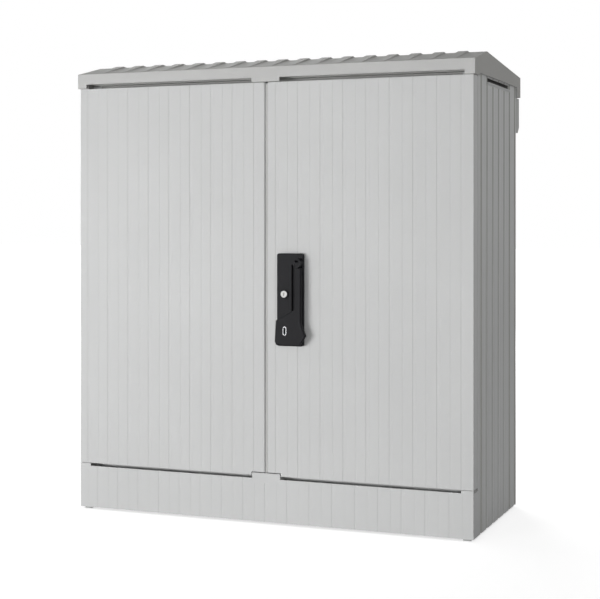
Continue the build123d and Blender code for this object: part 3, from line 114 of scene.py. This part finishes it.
def new_material(name, color, roughness, metallic=0.0):
    """A material with its nodes cleared down to one shader and its output."""
    mat = bpy.data.materials.new(name)
    mat.use_nodes = True
    tree = mat.node_tree
    tree.nodes.clear()
    out = tree.nodes.new("ShaderNodeOutputMaterial")
    shader = tree.nodes.new("ShaderNodeBsdfPrincipled")
    tree.links.new(shader.outputs["BSDF"], out.inputs["Surface"])
    shader.inputs["Base Color"].default_value = (*color, 1.0)
    shader.inputs["Roughness"].default_value = roughness
    shader.inputs["Metallic"].default_value = metallic
    return mat, tree, shader, out


def noise(tree, scale, detail, stretch=(1.0, 1.0, 1.0)):
    """Noise in the object's own coordinates, stretched along an axis if asked."""
    coords = tree.nodes.new("ShaderNodeTexCoord")
    mapping = tree.nodes.new("ShaderNodeMapping")
    mapping.inputs["Scale"].default_value = stretch
    texture = tree.nodes.new("ShaderNodeTexNoise")
    texture.inputs["Scale"].default_value = scale
    texture.inputs["Detail"].default_value = detail
    tree.links.new(coords.outputs["Object"], mapping.inputs["Vector"])
    tree.links.new(mapping.outputs["Vector"], texture.inputs["Vector"])
    return texture.outputs["Fac"]


def tint(tree, shader, fac, dark, light, low=0.35, high=0.65):
    """Base colour that runs between two colours with fac."""
    ramp = tree.nodes.new("ShaderNodeValToRGB")
    ends = ramp.color_ramp.elements
    ends[0].position, ends[1].position = low, high
    ends[0].color, ends[1].color = (*dark, 1.0), (*light, 1.0)
    tree.links.new(fac, ramp.inputs["Fac"])
    tree.links.new(ramp.outputs["Color"], shader.inputs["Base Color"])


def map_range(tree, value, to, start=(0.0, 1.0)):
    """value mapped from one range to another, with the node that does it."""
    remap = tree.nodes.new("ShaderNodeMapRange")
    remap.inputs["From Min"].default_value, remap.inputs["From Max"].default_value = start
    remap.inputs["To Min"].default_value, remap.inputs["To Max"].default_value = to
    tree.links.new(value, remap.inputs["Value"])
    return remap


def bump(tree, shader, fac, strength, distance):
    """Surface relief from fac."""
    relief = tree.nodes.new("ShaderNodeBump")
    relief.inputs["Strength"].default_value = strength
    relief.inputs["Distance"].default_value = distance
    tree.links.new(fac, relief.inputs["Height"])
    tree.links.new(relief.outputs["Normal"], shader.inputs["Normal"])


def shade(color, factor):
    """A colour made darker or lighter."""
    return tuple(min(1.0, c * factor) for c in color)


def surface(name, color, roughness, metallic=0.0, grain=180.0, vary=0.04, relief=0.12,
            stretch=(1, 1, 1), shine=0.5):
    """A finish with a little change of colour, gloss and relief over it."""
    mat, tree, shader, out = new_material(name, color, roughness, metallic)
    shader.inputs["Specular IOR Level"].default_value = shine
    patches = noise(tree, PATCH_SCALE, PATCH_DETAIL)
    tint(tree, shader, patches, shade(color, 1 - vary), shade(color, 1 + vary))
    fine = noise(tree, grain, GRAIN_DETAIL, stretch)
    gloss = map_range(tree, fine, (roughness - GLOSS_VARY, roughness + GLOSS_VARY))
    tree.links.new(gloss.outputs["Result"], shader.inputs["Roughness"])
    bump(tree, shader, fine, relief, GRAIN_DEPTH)
    return mat


# Finishes: colour and roughness, metals with 1.0 after them, and what else differs in surface()
FINISHES = {
    # one for each of the record's slots
    "polyester": ((0.595, 0.60, 0.598), 0.5, 0.0, dict(grain=260.0, vary=0.02, relief=0.10)),
    "black_plastic": ((0.010, 0.010, 0.012), 0.46, 0.0, dict(grain=420.0, relief=0.15, shine=0.1)),
    "steel": ((0.47, 0.48, 0.49), 0.52, 1.0, dict(grain=90.0, relief=0.05, stretch=(1, 1, 8))),
    "coated_steel": ((0.13, 0.14, 0.15), 0.45, 0.0, dict(grain=500.0, relief=0.2)),
    "light_steel": ((0.42, 0.43, 0.42), 0.5, 0.0, dict(grain=400.0, relief=0.1)),
    "rubber": ((0.018, 0.018, 0.019), 0.75, 0.0, dict(grain=300.0)),
    "module_case": ((0.045, 0.05, 0.058), 0.42, 0.0, dict(grain=520.0, relief=0.2)),
    "white_plastic": ((0.62, 0.63, 0.62), 0.42, 0.0, dict(grain=400.0, vary=0.015)),
    "copper": ((0.60, 0.27, 0.14), 0.5, 1.0, dict(grain=70.0, vary=0.08, stretch=(1, 1, 6))),
    "aluminium": ((0.44, 0.45, 0.47), 0.66, 1.0, dict(grain=160.0, relief=0.06)),
    # more of them for single nodes, parts of nodes and added pieces
    "zinc": ((0.60, 0.61, 0.60), 0.32, 1.0, dict(grain=60.0, vary=0.1, relief=0.05)),
    # painted shade in the side walls' grooves and on the roof's gables
    "painted_shade_grey": ((0.43, 0.428, 0.41), 0.62, 0.0, dict(grain=260.0, vary=0.03, relief=0.10)),
    # painted shade on the roof's two slopes
    "slope_shade": ((0.36, 0.358, 0.345), 0.65, 0.0, dict(grain=120.0, vary=0.10, relief=0.2)),
    # the roof, darker than the walls: painted shade for the lesser light from above
    "roof_shaded": ((0.52, 0.52, 0.512), 0.52, 0.0, dict(grain=260.0, vary=0.02, relief=0.10)),
    # painted shade behind the top gap, on the head crossbar and hinge blocks
    "gap_shade": ((0.35, 0.35, 0.34), 0.6, 0.0, dict(grain=400.0, relief=0.1)),
    "plug_metal": ((0.74, 0.74, 0.72), 0.4, 0.0, dict(grain=200.0, relief=0.04, shine=0.3)),
    "eye_metal": ((0.30, 0.30, 0.31), 0.4, 1.0, dict(grain=200.0, relief=0.04)),
    "seal": ((0.52, 0.52, 0.51), 0.6, 0.0, dict(grain=300.0, relief=0.1)),
    "orange": ((0.62, 0.13, 0.015), 0.45, 0.0, dict(grain=400.0)),
    "lamp": ((0.10, 0.42, 0.16), 0.25, 0.0, dict(grain=300.0, relief=0.02)),
    "window": ((0.012, 0.014, 0.018), 0.12, 0.0, dict(grain=300.0, relief=0.02)),
    "mat": ((0.13, 0.13, 0.125), 0.9, 0.0, dict(grain=900.0, relief=0.6)),
}
MATS = {name: surface(name, color, roughness, metallic, **rest)
        for name, (color, roughness, metallic, rest) in FINISHES.items()}


def is_convex(face):
    """True if no corner of the face turns inward."""
    corners = [loop.vert.co for loop in face.loops]
    for k, here in enumerate(corners):
        before = here - corners[k - 1]
        after = corners[(k + 1) % len(corners)] - here
        if before.cross(after).dot(face.normal) < -TURN_SLACK:
            return False
    return True


def clean_copy(name):
    """The CAD node's mesh as one welded mesh with flat faces joined where the result is convex."""
    source = NODES[name]
    obj = bpy.data.objects.new(f"{name}_soft", source.data.copy())
    bpy.context.scene.collection.objects.link(obj)
    obj.matrix_world = source.matrix_world.copy()
    mesh = bmesh.new()
    mesh.from_mesh(obj.data)
    bmesh.ops.remove_doubles(mesh, verts=mesh.verts, dist=WELD)
    bmesh.ops.dissolve_limit(mesh, angle_limit=FLAT, verts=mesh.verts, edges=mesh.edges)
    hollow = [f for f in mesh.faces if len(f.verts) > 4 and not is_convex(f)]
    parts = bmesh.ops.triangulate(mesh, faces=hollow)["faces"]
    bmesh.ops.join_triangles(mesh, faces=parts, angle_face_threshold=FLAT,
                             angle_shape_threshold=QUAD_SKEW)
    mesh.to_mesh(obj.data)
    mesh.free()
    return obj


def round_edges(obj, width, angle):
    """Bevels the edges of obj that turn by more than the angle."""
    bevel = obj.modifiers.new("round", "BEVEL")
    bevel.width = width
    bevel.segments = ROUND_STEPS
    bevel.limit_method = "ANGLE"
    bevel.angle_limit = angle
    return bevel


def soften(name, width, material=None):
    """A copy of a CAD node with its sharp edges rounded, shown instead of the node."""
    obj = clean_copy(name)
    obj.data.materials.clear()
    obj.data.materials.append(material or MATS[SLOT_OF[name]])
    bevel = round_edges(obj, width, NODE_EDGE)
    bevel.use_clamp_overlap = True
    bevel.loop_slide = False
    bevel.miter_outer = "MITER_ARC"
    for poly in obj.data.polygons:
        poly.use_smooth = True
    normals = obj.modifiers.new("even", "WEIGHTED_NORMAL")
    normals.keep_sharp = True
    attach(obj, BODY_OF[name])
    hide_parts(name)
    return obj


def dress_node(name, material=None):
    """The CAD node itself, with its slot's material or one of its own."""
    obj = NODES[name]
    obj.data.materials.clear()
    obj.data.materials.append(material or MATS[SLOT_OF[name]])


def repaint(obj, material, test):
    """Gives material to the faces of obj whose centre passes the test."""
    obj.data.materials.append(material)
    index = len(obj.data.materials) - 1
    for poly in obj.data.polygons:
        if test(obj.matrix_world @ poly.center):
            poly.material_index = index


# How far the edges of the visible nodes are rounded
ROUNDED = {
    "left_door": 0.0009, "right_door": 0.0009, "foot_panel": 0.0009, "side_wall_left": 0.0012,
    "side_wall_right": 0.0012, "rear_wall": 0.0009, "roof": 0.0018, "lock_plate": 0.0012,
    "lock_lever": 0.0012, "lock_spindle": 0.0004, "fixing_brackets": 0.001, "keepers": 0.0005,
    "converter": 0.0015, "battery_controller": 0.0015, "breaker_body": 0.0012,
    "breaker_toggle": 0.0008, "gear_case": 0.0005, "lock_plug": 0.0006, "earth_bar": 0.0005,
    "centre_post": 0.0004, "equipment_plate": 0.0004, "hinge_blocks": 0.0005,
    "levelling_pads": 0.0008, "fan_frames": 0.0008, "bolt_guides": 0.0006, "rod_guides": 0.0006,
    "busbar_negative": 0.0005, "busbar_positive": 0.0005, "module_terminals": 0.0006,
    "cable_glands": 0.0005, "rack_uprights": 0.0004, "floor_frame": 0.0006, "frame_head": 0.0005,
    "rim_rails": 0.0003, "rim_jambs": 0.0003, "door_gaskets": 0.0015, "padlock_eye": 0.0003,
}
ROUNDED.update(dict.fromkeys(MODULE_NAMES, 0.0016))
ROUNDED.update(dict.fromkeys(SHELF_NAMES, 0.0004))

# Nodes whose finish differs from that of their slot; the roof's and the head crossbar's and hinge
# blocks' darker finishes are painted shade
OWN_FINISH = {
    "roof": "roof_shaded", "frame_head": "gap_shade", "hinge_blocks": "gap_shade",
    "lock_plug": "plug_metal", "padlock_eye": "eye_metal", "vent_filters": "mat",
}

SOFT = {}
for node_name in NODES:
    finish = MATS.get(OWN_FINISH.get(node_name))
    if node_name in ROUNDED:
        SOFT[node_name] = soften(node_name, ROUNDED[node_name], finish)
    else:
        dress_node(node_name, finish)

# Painted shade darkens the grooves of the two side walls, which are mirror images
WALL_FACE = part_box("side_wall_right")[1].x - LIP_OUT
for wall_name in WALL_NAMES:
    repaint(SOFT[wall_name], MATS["painted_shade_grey"],
            lambda c: WALL_FACE - GROOVE_SHADE_LOW < abs(c.x) < WALL_FACE - GROOVE_SHADE_HIGH)

# Painted shade darkens the roof's two slopes, and less deeply its gables
GABLE_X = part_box("roof")[1].x - GABLE_SKIN
repaint(SOFT["roof"], MATS["slope_shade"], lambda c: c.z > FASCIA_TOP and abs(c.x) < GABLE_X)
repaint(SOFT["roof"], MATS["painted_shade_grey"], lambda c: abs(c.x) > GABLE_X)

# The spindle's hub, in front of the lock plate, is as black as the lever
repaint(SOFT["lock_spindle"], MATS["black_plastic"], lambda c: c.y < PLATE_FRONT)

# Direction along each axis and two across it
AXES = {
    "X": (Vector((1, 0, 0)), Vector((0, 1, 0)), Vector((0, 0, 1))),
    "Y": (Vector((0, 1, 0)), Vector((0, 0, 1)), Vector((1, 0, 0))),
    "Z": (Vector((0, 0, 1)), Vector((1, 0, 0)), Vector((0, 1, 0))),
}


def box(mesh, low, high):
    """A box from corner to corner."""
    size = [b - a for a, b in zip(low, high)]
    middle = [(a + b) / 2 for a, b in zip(low, high)]
    place = Matrix.Translation(middle) @ Matrix.Diagonal((*size, 1.0))
    bmesh.ops.create_cube(mesh, size=1.0, matrix=place)


def lathe(mesh, centre, axis, profile, sides=24, closed=False):
    """A turned body: profile is a list of (radius, height along the axis)."""
    along, across, up = AXES[axis]
    centre = Vector(centre)
    rings = []
    for radius, height in profile:
        base = centre + along * height
        if radius == 0:
            rings.append([mesh.verts.new(base)])
            continue
        ring = []
        for k in range(sides):
            turn = 2 * math.pi * k / sides
            spoke = across * (radius * math.cos(turn)) + up * (radius * math.sin(turn))
            ring.append(mesh.verts.new(base + spoke))
        rings.append(ring)
    pairs = list(zip(rings, rings[1:]))
    if closed:
        pairs.append((rings[-1], rings[0]))
    for low, high in pairs:
        for k in range(sides):
            n = (k + 1) % sides
            if len(low) == 1:
                mesh.faces.new((low[0], high[k], high[n]))
            elif len(high) == 1:
                mesh.faces.new((low[k], high[0], low[n]))
            else:
                mesh.faces.new((low[k], high[k], high[n], low[n]))


def piece(name, mesh, material, rounding=0.0, body="cabinet"):
    """Turns a mesh into a shown piece that rides on a body."""
    bmesh.ops.recalc_face_normals(mesh, faces=mesh.faces)
    data = bpy.data.meshes.new(name)
    mesh.to_mesh(data)
    mesh.free()
    data.polygons.foreach_set("use_smooth", [True] * len(data.polygons))
    data.set_sharp_from_angle(angle=SMOOTH_EDGE)
    data.materials.append(MATS[material])
    obj = bpy.data.objects.new(name, data)
    bpy.context.scene.collection.objects.link(obj)
    if rounding:
        round_edges(obj, rounding, PIECE_EDGE)
    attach(obj, body)


def corners_of(name):
    """Low and high corner of a CAD node."""
    low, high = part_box(name)
    return Vector(low), Vector(high)


def screw(mesh, place, axis, radius, out=1):
    """Domed screw head with a socket, standing out along the axis, or against it if out is -1."""
    height = radius * 0.62 * out
    bottom = height * 0.45
    dome = [(0, 0), (radius, 0), (radius, height * 0.35), (radius * 0.86, height * 0.78),
            (radius * 0.6, height)]
    socket = [(radius * 0.42, height), (radius * 0.42, bottom), (0, bottom)]
    lathe(mesh, place, axis, dome + socket, 18)


def disc(mesh, place, axis, radius, low, high, sides):
    """A round or many-sided plate between two heights."""
    lathe(mesh, place, axis, [(0, low), (radius, low), (radius, high), (0, high)], sides)


def nut(mesh, place, axis, radius, out=1):
    """Hexagon nut on a washer, with the end of its stud."""
    washer = 0.0012 * out
    start = 0.0013 * out
    thick = radius * 0.8 * out
    top = start + thick
    disc(mesh, place, axis, radius * 1.15, 0, washer, 24)
    lathe(mesh, place, axis, [(0, start), (radius, start), (radius, start + thick * 0.85),
                              (radius * 0.86, top), (0, top)], 6)
    disc(mesh, place, axis, radius * 0.5, top, top + thick * 0.4, 16)


def row(first, pitch, count):
    """Evenly spaced places along one axis."""
    return [first + k * pitch for k in range(count)]


def lamp_row(mesh, place, pitch, count, sizes):
    """A row of small lenses to the right of the first one, which stand out to the front."""
    radius, rim, crown, tip = sizes
    profile = [(0, SUNK), (radius, SUNK), (radius, -rim), (crown, -tip), (0, -tip)]
    for x in row(place[0], pitch, count):
        lathe(mesh, (x, place[1], place[2]), "Y", profile, 16)


def ring(mesh, centre, radius, wire):
    """A wire ring lying flat."""
    profile = []
    for k in range(8):
        turn = 2 * math.pi * k / 8
        profile.append((radius + wire * math.cos(turn), wire * math.sin(turn)))
    lathe(mesh, centre, "Z", profile, 48, True)


# Radii of screws and nuts
SCREW_R = {"module": 0.0034, "converter": 0.004, "controller": 0.0036, "breaker": 0.0042,
           "fan": 0.0036, "rear": 0.0045}
NUT_R = 0.0062

# Lamps: radius, height of the rim, radius of the crown, whole height
LAMP_SIZES = {"module": (0.0022, 0.0012, 0.0014, 0.0019), "converter": (0.003, 0.0015, 0.002, 0.0024),
              "controller": (0.002, 0.001, 0.0013, 0.0016)}

# Battery modules: the poles stand below the module's top and inside the terminals' ends
POLE_DOWN = 0.045
POLE_IN = 0.0078
POLE_PROFILE = [(0.0098, 0), (0.0145, 0), (0.0145, -0.004), (0.0135, -0.005), (0.0098, -0.005)]
SOCKET_PROFILE = [(0.0085, 0), (0.0085, -0.006), (0.0068, -0.006), (0.0068, -0.0006), (0, -0.0006)]


def dress_modules():
    """Screws, lamps, sockets, pole rings and busbar nuts on the battery modules."""
    in_x, in_z = 0.013, 0.014             # screws in from the case's corners
    row_up = 0.040                        # lamps and sockets above the case's foot
    lamps_in, sockets_in = 0.150, 0.100   # first of each in from the case's right side
    screws, lamps, sockets, plus, minus, nuts = (bmesh.new() for _ in range(6))
    poles_low, poles_high = corners_of("module_terminals")
    front = poles_high.y
    bar_front = corners_of("busbar_positive")[0].y
    for name in MODULE_NAMES:
        low, high = corners_of(name)
        for x in (low.x + in_x, high.x - in_x):
            for z in (low.z + in_z, high.z - in_z):
                screw(screws, (x, front, z), "Y", SCREW_R["module"], -1)
        row_z = low.z + row_up
        lamp_row(lamps, (high.x - lamps_in, front, row_z), 0.012, 4, LAMP_SIZES["module"])
        for x in row(high.x - sockets_in, 0.024, 2):
            lathe(sockets, (x, front, row_z), "Y", SOCKET_PROFILE)
        z = high.z - POLE_DOWN
        for mesh, x in ((minus, poles_low.x + POLE_IN), (plus, poles_high.x - POLE_IN)):
            lathe(mesh, (x, front, z), "Y", POLE_PROFILE, 28, True)
            nut(nuts, (x, bar_front, z), "Y", NUT_R, -1)
    piece("module_screws", screws, "zinc")
    piece("module_lamps", lamps, "lamp")
    piece("module_sockets", sockets, "black_plastic")
    piece("positive_rings", plus, "orange")
    piece("negative_rings", minus, "black_plastic")
    piece("busbar_nuts", nuts, "zinc")


def sleeve(name, bar, material):
    """Insulating sleeves on a busbar between its terminals."""
    thick = 0.0012
    clear = 0.020
    low, high = corners_of(bar)
    poles = [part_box(n)[1][2] - POLE_DOWN for n in MODULE_NAMES]
    mesh = bmesh.new()
    for below, above in zip(poles, poles[1:]):
        box(mesh, (low.x - thick, low.y - thick, below + clear),
            (high.x + thick, high.y + thick, above - clear))
    piece(name, mesh, material, 0.0008)


# Plug-in connector under the converter: collar, grip and cable end
PLUG_PROFILE = [(0, 0.001), (0.013, 0.001), (0.013, -0.006), (0.0105, -0.008), (0.0105, -0.020),
                (0.009, -0.024), (0, -0.024)]


def dress_converter():
    """Window, lamps, screws and plug-in connectors on the converter."""
    depth = 0.110                       # of the housing, without the cooling fins
    half = 0.055                        # half the window's width
    window_low, window_top = 0.062, 0.022   # below the housing's top
    edge = 0.012                        # screws in from the housing's edges
    low, high = corners_of("converter")
    mid = (low + high) / 2
    face = high.y - depth
    window = bmesh.new()
    box(window, (mid.x - half, face - 0.0018, high.z - window_low),
        (mid.x + half, face, high.z - window_top))
    piece("converter_window", window, "window", 0.0012)
    lamps = bmesh.new()
    first = (mid.x + 0.075, face, high.z - (window_low + window_top) / 2)
    lamp_row(lamps, first, 0.014, 3, LAMP_SIZES["converter"])
    piece("converter_lamps", lamps, "lamp")
    screws = bmesh.new()
    for x in (low.x + edge, high.x - edge):
        for z in (low.z + edge, mid.z, high.z - edge):
            screw(screws, (x, face, z), "Y", SCREW_R["converter"], -1)
    piece("converter_screws", screws, "zinc")
    plugs = bmesh.new()
    for x in row(mid.x - 0.120, 0.060, 5):
        lathe(plugs, (x, face + 0.045, low.z), "Z", PLUG_PROFILE)
    piece("converter_plugs", plugs, "black_plastic")


def dress_controller():
    """Ports and lamps on the battery controller, and terminal screws on it and the breaker."""
    port_low, port_high = -0.008, 0.006   # from the controller's middle
    port_wide, port_pitch = 0.014, 0.022
    port_deep = 0.0006
    step = 0.014                          # terminals behind the controller's nose
    breaker_step = 0.018                  # and behind the breaker's
    edge = 0.010                          # screws in from the lower and upper edge
    low, high = corners_of("battery_controller")
    mid_z = (low.z + high.z) / 2
    ports = bmesh.new()
    for x in row(low.x + port_pitch, port_pitch, 6):
        box(ports, (x, low.y - port_deep, mid_z + port_low), (x + port_wide, low.y, mid_z + port_high))
    piece("controller_ports", ports, "black_plastic", 0.0004)
    lamps = bmesh.new()
    lamp_row(lamps, (high.x - 0.040, low.y, mid_z), 0.009, 4, LAMP_SIZES["controller"])
    piece("controller_lamps", lamps, "lamp")
    heads = bmesh.new()
    for x in row(low.x + 0.014, 0.0132, 14):
        for z in (low.z + edge, high.z - edge):
            screw(heads, (x, low.y + step, z), "Y", SCREW_R["controller"], -1)
    low, high = corners_of("breaker_body")
    for x in row(low.x + 0.009, 0.018, 4):
        for z in (low.z + edge, high.z - edge):
            screw(heads, (x, low.y + breaker_step, z), "Y", SCREW_R["breaker"], -1)
    piece("terminal_screws", heads, "zinc")


def dress_fans():
    """Wire guards and screws on the two fans."""
    wire = 0.0009
    bar = 0.001           # half the width of the two crossed bars
    thick = 0.0016        # their height
    inset = 0.004         # their ends in from the frame's sides
    screw_in = 0.0065     # screws in from the frame's sides
    guard = bmesh.new()
    screws = bmesh.new()
    low, high = corners_of("fan_frames")
    half = (high.y - low.y) / 2
    top = high.z
    y = low.y + half
    for x in (low.x + half, high.x - half):
        for radius in (0.010, 0.018, 0.026, 0.034, 0.042):
            ring(guard, (x, y, top + wire), radius, wire)
        reach = half - inset
        box(guard, (x - reach, y - bar, top), (x + reach, y + bar, top + thick))
        box(guard, (x - bar, low.y + inset, top), (x + bar, high.y - inset, top + thick))
        for dx in (screw_in - half, half - screw_in):
            for dy in (screw_in - half, half - screw_in):
                screw(screws, (x + dx, y + dy, top), "Z", SCREW_R["fan"])
    piece("fan_guards", guard, "zinc")
    piece("fan_screws", screws, "zinc")


def dress_carcass():
    """Screws of the rear wall, filter mats behind the vent slots and rings on the glands."""
    rear = corners_of("rear_wall")[1].y
    screws = bmesh.new()
    for x in (-0.488, 0.488):
        for z in row(0.10, 0.19, 5):
            screw(screws, (x, rear, z), "Y", SCREW_R["rear"])
    piece("rear_screws", screws, "zinc")

    mat_in = 0.0078       # middle of a mat in from the filters' outer face
    half = 0.0004         # half its thickness
    edge_y, edge_z = 0.007, 0.006
    mats = bmesh.new()
    low, high = corners_of("vent_filters")
    for x in (mat_in - high.x, high.x - mat_in):
        box(mats, (x - half, low.y + edge_y, low.z + edge_z),
            (x + half, high.y - edge_y, high.z - edge_z))
    piece("filter_mats", mats, "mat")

    gland_r = 0.016
    ring_r, wire = 0.0130, 0.0007
    count = 4
    rings = bmesh.new()
    low, high = corners_of("cable_glands")
    y = (low.y + high.y) / 2
    for x in row(low.x + gland_r, (high.x - low.x - 2 * gland_r) / (count - 1), count):
        for down in (0.0085, 0.0045):
            ring(rings, (x, y, high.z - down), ring_r, wire)
    piece("gland_rings", rings, "black_plastic")


def dress_meeting():
    """Seal on the left door's free edge, set back in the gap between the doors."""
    overlap = 0.0005      # into the left door's edge
    gap = 0.001           # short of the right door's edge
    back, thick = 0.0045, 0.003   # behind the doors' front
    foot, head = 0.006, 0.002     # short of the door's lower and upper edge
    low, high = corners_of("left_door")
    right = corners_of("right_door")[0].x - gap
    front = low.y + back
    strip = bmesh.new()
    box(strip, (high.x - overlap, front, low.z + foot), (right, front + thick, high.z - head))
    piece("meeting_seal", strip, "seal", 0.0006, "left_door")


dress_modules()
sleeve("negative_sleeves", "busbar_negative", "black_plastic")
sleeve("positive_sleeves", "busbar_positive", "orange")
dress_converter()
dress_controller()
dress_fans()
dress_carcass()
dress_meeting()


def make_floor():
    """Pale floor that keeps the shadow and is white to the camera farther out."""
    bpy.ops.mesh.primitive_plane_add(size=FLOOR_SIZE, location=(0, 0, 0))
    floor = bpy.context.object
    floor.name = "floor"
    mat, tree, shader, out = new_material("floor", (FLOOR_GREY,) * 3, FLOOR_ROUGH)
    shader.inputs["Specular IOR Level"].default_value = 0.0
    glow = tree.nodes.new("ShaderNodeEmission")
    coords = tree.nodes.new("ShaderNodeTexCoord")
    away = tree.nodes.new("ShaderNodeVectorMath")
    away.operation = "LENGTH"
    tree.links.new(coords.outputs["Object"], away.inputs[0])
    rise = map_range(tree, away.outputs["Value"], (FLOOR_GLOW, 1.0), (GLOW_NEAR, GLOW_FAR))
    rise.interpolation_type = "SMOOTHSTEP"
    tree.links.new(rise.outputs["Result"], glow.inputs["Strength"])
    add = tree.nodes.new("ShaderNodeAddShader")
    mix = tree.nodes.new("ShaderNodeMixShader")
    path = tree.nodes.new("ShaderNodeLightPath")
    tree.links.new(shader.outputs["BSDF"], add.inputs[0])
    tree.links.new(glow.outputs["Emission"], add.inputs[1])
    tree.links.new(path.outputs["Is Camera Ray"], mix.inputs["Fac"])
    tree.links.new(shader.outputs["BSDF"], mix.inputs[1])
    tree.links.new(add.outputs["Shader"], mix.inputs[2])
    tree.links.new(mix.outputs["Shader"], out.inputs["Surface"])
    floor.data.materials.append(mat)


def larger(tree, first, second):
    """The larger of two values."""
    node = tree.nodes.new("ShaderNodeMath")
    node.operation = "MAXIMUM"
    tree.links.new(first, node.inputs[0])
    tree.links.new(second, node.inputs[1])
    return node.outputs[0]


def make_world():
    """White to the camera, in gloss and through glass, and a plain grey as a light."""
    world = bpy.data.worlds.new("studio")
    bpy.context.scene.world = world
    world.use_nodes = True
    tree = world.node_tree
    tree.nodes.clear()
    out = tree.nodes.new("ShaderNodeOutputWorld")
    white = tree.nodes.new("ShaderNodeBackground")
    grey = tree.nodes.new("ShaderNodeBackground")
    for node in (white, grey):
        node.inputs["Color"].default_value = (1, 1, 1, 1)
    white.inputs["Strength"].default_value = 1.0
    coords = tree.nodes.new("ShaderNodeTexCoord")
    parts = tree.nodes.new("ShaderNodeSeparateXYZ")
    tree.links.new(coords.outputs["Generated"], parts.inputs["Vector"])
    level = map_range(tree, parts.outputs["Z"], (WORLD_LOW, WORLD_TOP))
    tree.links.new(level.outputs["Result"], grey.inputs["Strength"])
    path = tree.nodes.new("ShaderNodeLightPath").outputs
    seen = larger(tree, path["Is Camera Ray"], path["Is Glossy Ray"])
    seen = larger(tree, seen, path["Is Transmission Ray"])
    mix = tree.nodes.new("ShaderNodeMixShader")
    tree.links.new(seen, mix.inputs["Fac"])
    tree.links.new(grey.outputs[0], mix.inputs[1])
    tree.links.new(white.outputs[0], mix.inputs[2])
    tree.links.new(mix.outputs[0], out.inputs["Surface"])


def make_lamp(name, place, target, width, height, power):
    """A soft rectangular lamp."""
    light = bpy.data.lights.new(name, "AREA")
    light.shape = "RECTANGLE"
    light.size = width
    light.size_y = height
    light.energy = power
    lamp = bpy.data.objects.new(name, light)
    bpy.context.scene.collection.objects.link(lamp)
    lamp.location = place
    aim = Vector(target) - Vector(place)
    lamp.rotation_euler = aim.to_track_quat("-Z", "Y").to_euler()


def make_camera():
    """Level camera at the photograph's viewing angle."""
    data = bpy.data.cameras.new("camera")
    data.sensor_width = SENSOR
    data.lens = LENS
    data.shift_y = SHIFT_Y
    cam = bpy.data.objects.new("camera", data)
    bpy.context.scene.collection.objects.link(cam)
    cam.location = CAM_PLACE
    cam.rotation_euler = (math.radians(90), 0.0, math.radians(CAM_YAW))
    bpy.context.scene.camera = cam


make_floor()
make_world()
for lamp_values in LAMPS:
    make_lamp(*lamp_values)
make_camera()
bpy.context.scene.view_settings.view_transform = "Standard"
